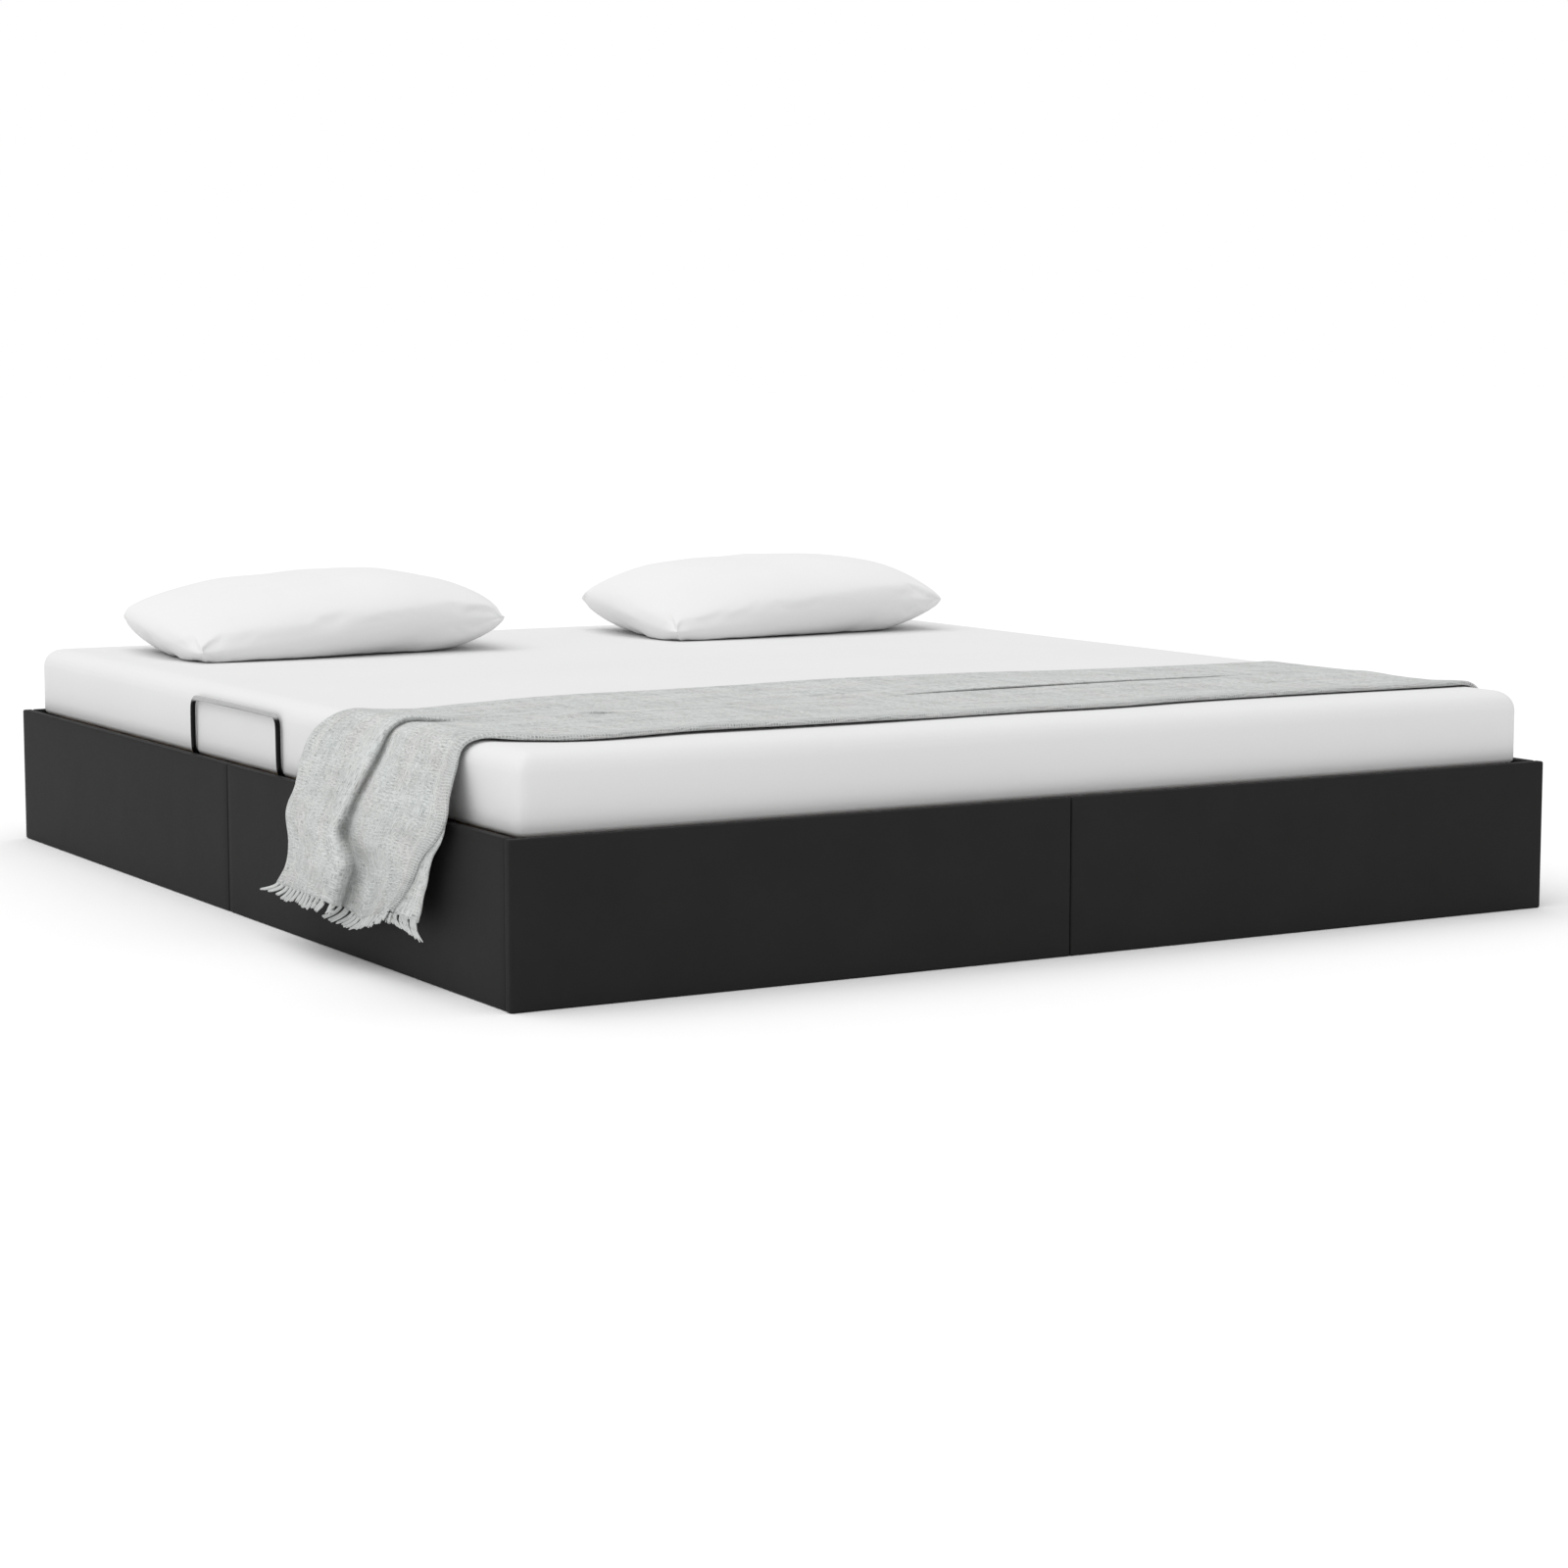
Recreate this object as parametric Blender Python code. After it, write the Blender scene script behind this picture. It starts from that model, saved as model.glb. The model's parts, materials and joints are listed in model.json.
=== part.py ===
"""Low platform bed with lift-up storage, a mattress, two pillows and a throw.

Metres, +Z up.  The origin is on the floor under the centre post, +Y runs from the foot
to the head and +X from the opening side to the hinge side.
"""
import math

import bmesh
import bpy
from mathutils import Vector

# ---------------------------------------------------------------- driving dimensions
FIT = 0.0003                # clearance between neighbouring pieces
BED_WIDTH = 1.840           # over the side panels
BED_LENGTH = 2.040
PANEL_HEIGHT = 0.238
PANEL_THICK = 0.018
END_PROUD = 0.002           # the foot panel stands this far past the side panels
PANEL_ROUND = 0.0025        # padded edge of an upholstered panel

MATTRESS_WIDTH = 1.785
MATTRESS_LENGTH = 1.985
MATTRESS_TOP = 0.352
MATTRESS_BOTTOM = 0.2262
MATTRESS_TOP_ROUND = 0.038
MATTRESS_BOTTOM_ROUND = 0.024
MATTRESS_CORNER = 0.030

TUBE = 0.025                # square tube of the lifting frame
RAIL_BOTTOM = 0.190
RAIL_REACH_X = 0.885        # outer face of the long rails
RAIL_REACH_Y = 0.985        # outer face of the end rails
SLAT_COUNT = 15             # in each half of the frame
SLAT_WIDTH = 0.063
SLAT_THICK = 0.0100
TAPE_WIDTH = 0.030          # webbing stapled across the slats
TAPE_PLACES = (0.250, 0.650)

BOARD_THICK = 0.006
BATTEN = (0.045, 0.018)     # width and height of the strips under the bottom boards
CLEAT = (0.030, 0.0345)     # width and height of the strips that carry the frame
CLEAT_BOTTOM = 0.150
POST_LENGTH = 0.060
STRIP_WIDTH = 0.012
STRIP_HEIGHT = 0.0049

ROD_RADIUS = 0.004          # bent rod of a mattress retainer
RETAINER_CENTRE_Y = 0.030
RETAINER_LEG_SPACING = 0.365
RETAINER_BAR_Z = 0.328
RETAINER_CORNER = 0.020
RETAINER_FOOT_BEND = 0.030
RETAINER_FOOT_Z = 0.2196
RETAINER_INNER_X = 0.815

HINGE_X = 0.8975
HINGE_Z = 0.238
HINGE_GAPS = {"foot": -5.5, "head": 4.5}    # slat pitches from the middle slat
HINGE_WIDTH = 0.080
KNUCKLE_RADIUS = 0.0035
HINGE_PIN_RADIUS = 0.0016
HINGE_BORE_RADIUS = 0.0019

STRUT_LOW = (0.840, 0.050)  # x and z of the strut's pivot on the end panel
STRUT_HIGH = (0.620, 0.172) # x and z of its pivot on the lifting frame, at rest
STRUT_Y = 0.943
STRUT_TUBE_RADIUS = 0.011
STRUT_ROD_RADIUS = 0.005
STRUT_PIN_RADIUS = 0.004
STRUT_HIGH_HOLE = 0.0100    # oversize, so the open pivot has room to wander
EYE_THICK = 0.010

PILLOW_SIZE = (0.680, 0.440, 0.148)
PILLOW_CENTRES = {"pillow_left": (-0.470, 0.715), "pillow_right": (0.468, 0.710)}
THROW_THICK = 0.005
THROW_NEAR_Y, THROW_FAR_Y = -0.900, -0.385   # its edges at the two sides of the bed
THROW_BULGE = 0.095          # how much wider it lies in the middle of the bed
THROW_PINCH = (0.080, 0.085) # how far the two edges draw in where it hangs
THROW_PINCH_X = (0.850, 0.890)  # start and end of that narrowing, from the middle
THROW_GAP = 0.0008          # between the throw and the mattress
DRAPE_X = -0.9380           # plane in which the throw hangs beside the bed
DRAPE_TOP = 0.243

# ---------------------------------------------------------------- derived places
SIDE_OUT = BED_WIDTH / 2
SIDE_IN = SIDE_OUT - PANEL_THICK
END_OUT = BED_LENGTH / 2
END_IN = END_OUT - PANEL_THICK
SIDE_SEAM_Y = (END_OUT - END_IN) / 2
BOARD_TOP = BATTEN[1] + FIT + BOARD_THICK
CLEAT_TOP = CLEAT_BOTTOM + CLEAT[1]
RAIL_TOP = RAIL_BOTTOM + TUBE
SLAT_PITCH = RETAINER_LEG_SPACING / 3
SLAT_BOTTOM = RAIL_TOP + FIT
SLAT_TOP = SLAT_BOTTOM + SLAT_THICK
SIDES = (("left", -1), ("right", 1))
ENDS = (("foot", -1), ("head", 1))


# ---------------------------------------------------------------- materials and objects
def make_material(name, colour, roughness, metallic=0.0):
    material = bpy.data.materials.new(name)
    material.use_nodes = True
    shader = material.node_tree.nodes["Principled BSDF"]
    shader.inputs["Base Color"].default_value = (*colour, 1.0)
    shader.inputs["Roughness"].default_value = roughness
    shader.inputs["Metallic"].default_value = metallic
    material.diffuse_color = (*colour, 1.0)
    return material


def clear_scene():
    for item in list(bpy.data.objects):
        bpy.data.objects.remove(item, do_unlink=True)


clear_scene()
UPHOLSTERY = make_material("black_upholstery", (0.022, 0.022, 0.023), 0.55)
BOARD = make_material("grey_board", (0.30, 0.29, 0.28), 0.7)
PINE = make_material("raw_pine", (0.62, 0.45, 0.28), 0.6)
BEECH = make_material("beech_slat", (0.72, 0.55, 0.36), 0.45)
STEEL = make_material("black_steel", (0.03, 0.03, 0.032), 0.35, 0.6)
ZINC = make_material("zinc_steel", (0.55, 0.56, 0.58), 0.35, 1.0)
CHROME = make_material("polished_rod", (0.80, 0.80, 0.82), 0.12, 1.0)
RUBBER = make_material("black_rubber", (0.02, 0.02, 0.02), 0.8)
PLASTIC = make_material("black_plastic", (0.03, 0.03, 0.03), 0.5)
TICKING = make_material("white_ticking", (0.80, 0.80, 0.80), 0.9)
COTTON = make_material("white_cotton", (0.85, 0.85, 0.85), 0.9)
WEAVE = make_material("grey_weave", (0.58, 0.61, 0.60), 0.95)


def add_object(name, bm, material, location=(0.0, 0.0, 0.0), parent=None, smooth=False):
    mesh = bpy.data.meshes.new(name)
    bmesh.ops.recalc_face_normals(bm, faces=bm.faces)
    bm.to_mesh(mesh)
    bm.free()
    mesh.materials.append(material)
    if smooth:
        mesh.shade_smooth()
        mesh.set_sharp_from_angle(angle=math.radians(35))
    item = bpy.data.objects.new(name, mesh)
    item.location = Vector(location)
    bpy.context.collection.objects.link(item)
    if parent:
        item.parent = parent
        item.matrix_parent_inverse.identity()
        item.location = Vector(location) - parent.location
    return item


def add_pivot(name, location):
    pivot = bpy.data.objects.new(name, None)
    pivot.location = location
    bpy.context.collection.objects.link(pivot)
    return pivot


def add_bevel(item, width, segments):
    bevel = item.modifiers.new("rounding", "BEVEL")
    bevel.width = width
    bevel.segments = segments
    bevel.limit_method = "ANGLE"
    bevel.angle_limit = math.radians(40)
    return item


# ---------------------------------------------------------------- mesh building blocks
def put_box(bm, low, high):
    """Add an axis-aligned box to bm."""
    made = bmesh.ops.create_cube(bm, size=1.0)["verts"]
    low, high = Vector(low), Vector(high)
    for vert in made:
        for axis in range(3):
            vert.co[axis] = high[axis] if vert.co[axis] > 0 else low[axis]


def span(a, b):
    return (min(a, b), max(a, b))


def box_between(bm, x_pair, y_pair, z_pair):
    x, y, z = span(*x_pair), span(*y_pair), span(*z_pair)
    put_box(bm, (x[0], y[0], z[0]), (x[1], y[1], z[1]))


def put_prism(bm, outline, start, end, place):
    """Extrude a 2-D outline; place(u, v, w) gives the point of outline (u, v) at depth w."""
    first = [bm.verts.new(place(u, v, start)) for u, v in outline]
    last = [bm.verts.new(place(u, v, end)) for u, v in outline]
    bm.faces.new(first)
    bm.faces.new(list(reversed(last)))
    count = len(outline)
    for i in range(count):
        j = (i + 1) % count
        bm.faces.new((first[j], first[i], last[i], last[j]))


def along_y(u, v, w):
    return (u, w, v)


def along_x(u, v, w):
    return (w, u, v)


def along_z(u, v, w):
    return (u, v, w)


def arc(centre, radius, start_deg, end_deg, steps):
    points = []
    for i in range(steps + 1):
        angle = math.radians(start_deg + (end_deg - start_deg) * i / steps)
        points.append((centre[0] + radius * math.cos(angle), centre[1] + radius * math.sin(angle)))
    return points


def circle(centre, radius, sides):
    return arc(centre, radius, 0, 360, sides)[:-1]


def put_ring(bm, centre, inner, outer, start, end, sides, place=along_y):
    """Add a flat ring with a round hole through it."""
    loops = []
    for depth, radius in ((start, inner), (start, outer), (end, outer), (end, inner)):
        loops.append([bm.verts.new(place(u, v, depth)) for u, v in circle(centre, radius, sides)])
    for k in range(4):
        here, there = loops[k], loops[(k + 1) % 4]
        for i in range(sides):
            j = (i + 1) % sides
            bm.faces.new((here[i], here[j], there[j], there[i]))


def put_turned(bm, stations, sides, start, direction, side_axis):
    """Turn a profile of (distance, radius) stations about the line from start."""
    direction = Vector(direction).normalized()
    across = Vector(side_axis).normalized()
    third = direction.cross(across)
    rings = []
    for distance, radius in stations:
        ring = []
        for u, v in circle((0.0, 0.0), radius, sides):
            ring.append(bm.verts.new(Vector(start) + direction * distance + across * u + third * v))
        rings.append(ring)
    bm.faces.new(rings[0])
    bm.faces.new(list(reversed(rings[-1])))
    for here, there in zip(rings, rings[1:]):
        for i in range(sides):
            j = (i + 1) % sides
            bm.faces.new((here[j], here[i], there[i], there[j]))


def rounded_loop(half_x, half_y, radius, steps=5):
    """Outline of a rounded rectangle about the origin."""
    points = []
    for quarter, (sx, sy) in enumerate(((1, 1), (-1, 1), (-1, -1), (1, -1))):
        centre = (sx * (half_x - radius), sy * (half_y - radius))
        points += arc(centre, radius, 90 * quarter, 90 * quarter + 90, steps)
    return points


def filleted_path(corners, radii, steps):
    """Points of a polyline whose inner corners are rounded with arcs."""
    corners = [Vector(c) for c in corners]
    points = [corners[0]]
    for before, here, after, radius in zip(corners, corners[1:], corners[2:], radii):
        back = (before - here).normalized()
        on = (after - here).normalized()
        half = back.angle(on) / 2
        centre = here + (back + on).normalized() * (radius / math.sin(half))
        first = here + back * (radius / math.tan(half)) - centre
        last = here + on * (radius / math.tan(half)) - centre
        for i in range(steps + 1):
            points.append(centre + first.slerp(last, i / steps).normalized() * radius)
    points.append(corners[-1])
    return points


def fuse(item, *others):
    """Union the other objects into item and keep them as hidden guides."""
    for other in others:
        join = item.modifiers.new("join", "BOOLEAN")
        join.operation = "UNION"
        join.solver = "EXACT"
        join.object = other
        other.hide_render = True
        other.display_type = "WIRE"
    return item


# ---------------------------------------------------------------- fixed base
def upholstered_panel(name, x_pair, y_pair):
    bm = bmesh.new()
    box_between(bm, x_pair, y_pair, (0.0, PANEL_HEIGHT))
    add_bevel(add_object(name, bm, UPHOLSTERY), PANEL_ROUND, 2)


def make_panels():
    half_fit = FIT / 2
    for side, sx in SIDES:
        faces = (sx * SIDE_IN, sx * SIDE_OUT)
        upholstered_panel(f"side_panel_{side}_foot", faces, (-END_IN + FIT, SIDE_SEAM_Y - half_fit))
        upholstered_panel(f"side_panel_{side}_head", faces, (SIDE_SEAM_Y + half_fit, END_OUT))
        reach = sx * (SIDE_OUT + END_PROUD)
        upholstered_panel(f"foot_panel_{side}", (sx * half_fit, reach), (-END_OUT, -END_IN))
        inner_reach = sx * (SIDE_IN - FIT)
        upholstered_panel(f"head_panel_{side}", (sx * half_fit, inner_reach), (END_IN, END_OUT))


def make_joiners():
    half, thick, heights = 0.050, 0.012, (0.030, 0.145)
    for side, sx in SIDES:
        bm = bmesh.new()
        faces = (sx * (SIDE_IN - FIT), sx * (SIDE_IN - FIT - thick))
        box_between(bm, faces, (SIDE_SEAM_Y - half, SIDE_SEAM_Y + half), heights)
        add_object(f"side_joiner_{side}", bm, PINE)
    for end, sy in ENDS:
        bm = bmesh.new()
        faces = (sy * (END_IN - FIT), sy * (END_IN - FIT - thick))
        box_between(bm, (-half, half), faces, heights)
        add_object(f"{end}_joiner", bm, PINE)


def make_corner_brackets():
    leg, plate, heights = 0.050, 0.003, (0.040, 0.140)
    for end, sy in ENDS:
        for side, sx in SIDES:
            x, y = SIDE_IN - FIT, END_IN - FIT
            outline = [(x, y), (x - leg, y), (x - leg, y - plate), (x - plate, y - plate)]
            outline += [(x - plate, y - leg), (x, y - leg)]
            outline = [(sx * u, sy * v) for u, v in outline]
            bm = bmesh.new()
            put_prism(bm, outline, heights[0], heights[1], along_z)
            add_object(f"corner_bracket_{side}_{end}", bm, ZINC)


def make_floor():
    """Battens across the floor, and a thin board on them in each quarter."""
    width, height = BATTEN
    reach = SIDE_IN - FIT
    for end, sy in ENDS:
        outer, inner = END_IN - FIT, POST_LENGTH / 2 + FIT
        for name, y_pair in ((end, (outer, outer - width)), (f"mid_{end}", (inner, inner + width))):
            bm = bmesh.new()
            box_between(bm, (-reach, reach), (sy * y_pair[0], sy * y_pair[1]), (0.0, height))
            add_object(f"floor_batten_{name}", bm, PINE)
        for side, sx in SIDES:
            bm = bmesh.new()
            x_pair = (sx * (PANEL_THICK / 2 + FIT), sx * reach)
            box_between(bm, x_pair, (sy * FIT, sy * outer), (height + FIT, BOARD_TOP))
            add_object(f"bottom_board_{side}_{end}", bm, BOARD)


def make_divider():
    """Upright boards along the middle, standing on the battens, and a post between them."""
    half = PANEL_THICK / 2
    for end, sy in ENDS:
        bm = bmesh.new()
        y_pair = (sy * (POST_LENGTH / 2 + FIT), sy * (END_IN - 2 * FIT - CLEAT[0]))
        box_between(bm, (-half, half), y_pair, (BATTEN[1] + FIT, CLEAT_TOP))
        add_object(f"divider_{end}", bm, BOARD)
    bm = bmesh.new()
    box_between(bm, (-half, half), (-POST_LENGTH / 2, POST_LENGTH / 2), (0.0, CLEAT_TOP))
    add_object("centre_post", bm, PINE)


def make_cleats():
    width = CLEAT[0]
    bm = bmesh.new()
    faces = (-(SIDE_IN - FIT), -(SIDE_IN - FIT - width))
    box_between(bm, faces, (-END_IN + FIT, END_IN - FIT), (CLEAT_BOTTOM, CLEAT_TOP))
    add_object("cleat_left", bm, PINE)
    reach = (-(SIDE_IN - 2 * FIT - width), SIDE_IN - FIT)
    for end, sy in ENDS:
        bm = bmesh.new()
        faces = (sy * (END_IN - FIT), sy * (END_IN - FIT - width))
        box_between(bm, reach, faces, (CLEAT_BOTTOM, CLEAT_TOP))
        add_object(f"cleat_{end}", bm, PINE)


def make_rest_strips():
    """Rubber strips that the closed frame comes down on."""
    low, high = CLEAT_TOP + FIT, CLEAT_TOP + FIT + STRIP_HEIGHT
    half = STRIP_WIDTH / 2
    places = {"left": (-(RAIL_REACH_X - half - FIT), 0.900), "centre": (0.0, 0.700)}
    for name, (x, reach) in places.items():
        bm = bmesh.new()
        box_between(bm, (x - half, x + half), (-reach, reach), (low, high))
        add_bevel(add_object(f"rest_strip_{name}", bm, RUBBER), 0.001, 1)


# ---------------------------------------------------------------- hinge
def make_hinges(platform):
    quarter = HINGE_WIDTH / 4
    for name, gap in HINGE_GAPS.items():
        y = RETAINER_CENTRE_Y + gap * SLAT_PITCH
        make_fixed_leaf(name, y, quarter)
        make_moving_leaf(name, y, quarter, platform)
        make_hinge_pin(name, y)


def make_hinge_pin(name, y):
    head, lip = 0.0030, 0.0020
    length = HINGE_WIDTH + 0.005
    stations = [(0.0, head * 0.85), (lip * 0.75, head), (lip, head), (lip, HINGE_PIN_RADIUS)]
    stations += [(length - lip, HINGE_PIN_RADIUS), (length - lip, head)]
    stations += [(length - lip * 0.75, head), (length, head * 0.85)]
    bm = bmesh.new()
    start = (HINGE_X, y - length / 2, HINGE_Z)
    put_turned(bm, stations, 16, start, (0, 1, 0), (1, 0, 0))
    add_object(f"hinge_pin_{name}", bm, ZINC, smooth=True)


def put_knuckle(bm, start, end):
    put_ring(bm, (HINGE_X, HINGE_Z), HINGE_BORE_RADIUS, KNUCKLE_RADIUS, start, end, 16)


def make_fixed_leaf(name, y, knuckle):
    """Flat leaf on the panel's inner face with a knuckle at each end."""
    face, thick, low = SIDE_IN - FIT, 0.0020, 0.172
    notch = HINGE_Z - KNUCKLE_RADIUS - 0.0012
    overlap = 0.004
    half = HINGE_WIDTH / 2
    bm = bmesh.new()
    box_between(bm, (face - thick, face), (y - half, y + half), (low, notch))
    leaf = add_object(f"hinge_leaf_{name}", bm, ZINC)
    guides = []
    ends = [(y - half, y - half + knuckle - FIT), (y + half - knuckle + FIT, y + half)]
    for i, (start, end) in enumerate(ends):
        tab = bmesh.new()
        box_between(tab, (face - thick, face), (start, end), (notch - overlap, HINGE_Z))
        guides.append(add_object(f"hinge_leaf_{name}_tab_{i}", tab, ZINC))
        ring = bmesh.new()
        put_knuckle(ring, start, end)
        guides.append(add_object(f"hinge_leaf_{name}_knuckle_{i}", ring, ZINC))
    fuse(leaf, *guides)


def make_moving_leaf(name, y, knuckle, platform):
    """Cranked arm: down from the knuckle in the gap, then in over the right rail."""
    outer, thick, inner = 0.8966, 0.0022, 0.858
    level, plate = RAIL_TOP + FIT, 0.0025
    top = HINGE_Z - HINGE_BORE_RADIUS - 0.0001
    outline = [(inner, level), (outer, level), (outer, top), (outer - thick, top)]
    outline += [(outer - thick, level + plate), (inner, level + plate)]
    half = HINGE_WIDTH / 2
    y_pair = (y - half + knuckle, y + half - knuckle)
    bm = bmesh.new()
    put_prism(bm, outline, y_pair[0], y_pair[1], along_y)
    arm = add_object(f"hinge_arm_{name}", bm, ZINC, parent=platform)
    ring = bmesh.new()
    put_knuckle(ring, *y_pair)
    fuse(arm, add_object(f"hinge_arm_{name}_knuckle", ring, ZINC, parent=platform))


# ---------------------------------------------------------------- gas struts
def strut_frame():
    """Length and unit direction of the closed strut in the XZ plane."""
    dx, dz = STRUT_HIGH[0] - STRUT_LOW[0], STRUT_HIGH[1] - STRUT_LOW[1]
    length = math.hypot(dx, dz)
    return length, (dx / length, 0.0, dz / length)


def strut_point(distance, y):
    direction = strut_frame()[1]
    return (STRUT_LOW[0] + direction[0] * distance, y, STRUT_LOW[1] + direction[2] * distance)


def put_eye(bm, centre, hole, outer, y):
    put_ring(bm, centre, hole, outer, y - EYE_THICK / 2, y + EYE_THICK / 2, 20)


def make_strut(end, sy):
    y = sy * STRUT_Y
    length, direction = strut_frame()
    low_eye, high_eye = 0.0115, 0.0140
    tube_end = length - 0.046
    neck = 0.0050
    cylinder_pivot = add_pivot(f"pivot_strut_{end}", (STRUT_LOW[0], y, STRUT_LOW[1]))

    body = bmesh.new()
    shell = [(0.018, STRUT_TUBE_RADIUS * 0.8), (0.020, STRUT_TUBE_RADIUS), (tube_end - 0.002, STRUT_TUBE_RADIUS)]
    shell += [(tube_end, STRUT_TUBE_RADIUS * 0.8), (tube_end, STRUT_ROD_RADIUS + FIT)]
    shell += [(0.030, STRUT_ROD_RADIUS + FIT)]
    put_turned(body, shell, 20, strut_point(0.0, y), direction, (0, 1, 0))
    cylinder = add_object(f"strut_cylinder_{end}", body, STEEL, parent=cylinder_pivot, smooth=True)
    eye = bmesh.new()
    put_eye(eye, STRUT_LOW, STRUT_PIN_RADIUS + FIT, low_eye, y)
    stem = bmesh.new()
    put_turned(stem, [(0.008, neck), (0.022, neck)], 12, strut_point(0.0, y), direction, (0, 1, 0))
    fuse(cylinder, add_object(f"strut_cylinder_{end}_eye", eye, STEEL, parent=cylinder_pivot),
         add_object(f"strut_cylinder_{end}_stem", stem, STEEL, parent=cylinder_pivot))

    shaft = bmesh.new()
    stations = [(0.034, STRUT_ROD_RADIUS), (length - 0.012, STRUT_ROD_RADIUS)]
    put_turned(shaft, stations, 16, strut_point(0.0, y), direction, (0, 1, 0))
    rod = add_object(f"strut_rod_{end}", shaft, CHROME, parent=cylinder_pivot, smooth=True)
    eye = bmesh.new()
    put_eye(eye, STRUT_HIGH, STRUT_HIGH_HOLE, high_eye, y)
    fuse(rod, add_object(f"strut_rod_{end}_eye", eye, CHROME, parent=cylinder_pivot))


def strut_bracket(name, plate_box, pin_centre, y_face, y_tip, washer, parent=None):
    """A plate with a stub pin and a washer at the pin's tip."""
    bm = bmesh.new()
    box_between(bm, *plate_box)
    bracket = add_object(name, bm, ZINC, parent=parent)
    sign = 1 if y_tip > y_face else -1
    reach = abs(y_tip - y_face)
    stations = [(-0.001, STRUT_PIN_RADIUS), (reach - 0.002, STRUT_PIN_RADIUS)]
    stations += [(reach - 0.002, washer), (reach, washer)]
    pin = bmesh.new()
    start = (pin_centre[0], y_face, pin_centre[1])
    put_turned(pin, stations, 20, start, (0, sign, 0), (1, 0, 0))
    fuse(bracket, add_object(f"{name}_pin", pin, ZINC, parent=parent))


def make_strut_brackets(end, sy, platform):
    face = END_IN - FIT
    base, tip = 0.003, STRUT_Y - EYE_THICK / 2 - 0.0045
    low_box = ((0.795, 0.851), (sy * face, sy * (face - base)), (0.026, 0.078))
    strut_bracket(f"strut_anchor_{end}", low_box, STRUT_LOW, sy * (face - base), sy * tip, 0.0080)
    rail_face = RAIL_REACH_Y - TUBE - FIT
    high_box = ((0.600, 0.640), (sy * rail_face, sy * (rail_face - base)), (0.156, RAIL_TOP - 0.002))
    strut_bracket(f"strut_bracket_{end}", high_box, STRUT_HIGH, sy * (rail_face - base), sy * tip,
                  0.0130, platform)


# ---------------------------------------------------------------- lifting frame
def make_rails(platform):
    levels = (RAIL_BOTTOM, RAIL_TOP)
    inner_x = RAIL_REACH_X - TUBE
    inner_y = RAIL_REACH_Y - TUBE
    for side, sx in SIDES:
        bm = bmesh.new()
        box_between(bm, (sx * RAIL_REACH_X, sx * inner_x), (-RAIL_REACH_Y, RAIL_REACH_Y), levels)
        add_bevel(add_object(f"rail_{side}", bm, STEEL, parent=platform), 0.002, 1)
    for end, sy in ENDS:
        bm = bmesh.new()
        reach = inner_x - FIT
        box_between(bm, (-reach, reach), (sy * RAIL_REACH_Y, sy * inner_y), levels)
        add_bevel(add_object(f"rail_{end}", bm, STEEL, parent=platform), 0.002, 1)
    bm = bmesh.new()
    box_between(bm, (-TUBE / 2, TUBE / 2), (-inner_y + FIT, inner_y - FIT), levels)
    add_bevel(add_object("rail_centre", bm, STEEL, parent=platform), 0.002, 1)


def slat_places():
    middle = (SLAT_COUNT - 1) / 2
    return [RETAINER_CENTRE_Y + (i - middle) * SLAT_PITCH for i in range(SLAT_COUNT)]


def make_slats(platform):
    """Slats of each half, held at their spacing by two tapes of webbing."""
    centre_gap, outer_reach = 0.002, RAIL_REACH_X - 0.001
    places = slat_places()
    for side, sx in SIDES:
        tape_bm = bmesh.new()
        for x in TAPE_PLACES:
            x_pair = (sx * (x - TAPE_WIDTH / 2), sx * (x + TAPE_WIDTH / 2))
            box_between(tape_bm, x_pair, (places[0], places[-1]), (SLAT_TOP - 0.0006, SLAT_TOP + 0.0004))
        tapes = add_object(f"slats_{side}_tapes", tape_bm, PLASTIC, parent=platform)
        bm = bmesh.new()
        for y in places:
            y_pair = (y - SLAT_WIDTH / 2, y + SLAT_WIDTH / 2)
            box_between(bm, (sx * centre_gap, sx * outer_reach), y_pair, (SLAT_BOTTOM, SLAT_TOP))
        fuse(add_object(f"slats_{side}", bm, BEECH, parent=platform), tapes)


def retainer_path(sx):
    leg_x = sx * (MATTRESS_WIDTH / 2 + SIDE_IN) / 2
    inner_x = sx * RETAINER_INNER_X
    near = RETAINER_CENTRE_Y - RETAINER_LEG_SPACING / 2
    far = RETAINER_CENTRE_Y + RETAINER_LEG_SPACING / 2
    corners = [(inner_x, near, RETAINER_FOOT_Z), (leg_x, near, RETAINER_FOOT_Z)]
    corners += [(leg_x, near, RETAINER_BAR_Z), (leg_x, far, RETAINER_BAR_Z)]
    corners += [(leg_x, far, RETAINER_FOOT_Z), (inner_x, far, RETAINER_FOOT_Z)]
    radii = [RETAINER_FOOT_BEND, RETAINER_CORNER, RETAINER_CORNER, RETAINER_FOOT_BEND]
    return filleted_path(corners, radii, 5)


def put_tube(bm, points, radius, sides):
    """Sweep a round section along points that turn only by right-angle bends."""
    rings = []
    across = None
    for i, point in enumerate(points):
        before, after = points[max(i - 1, 0)], points[min(i + 1, len(points) - 1)]
        tangent = (after - before).normalized()
        if across is None:
            across = tangent.orthogonal().normalized()
        across = (across - tangent * across.dot(tangent)).normalized()
        third = tangent.cross(across)
        rings.append([point + across * u + third * v for u, v in circle((0, 0), radius, sides)])
    put_stack(bm, rings)


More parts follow.
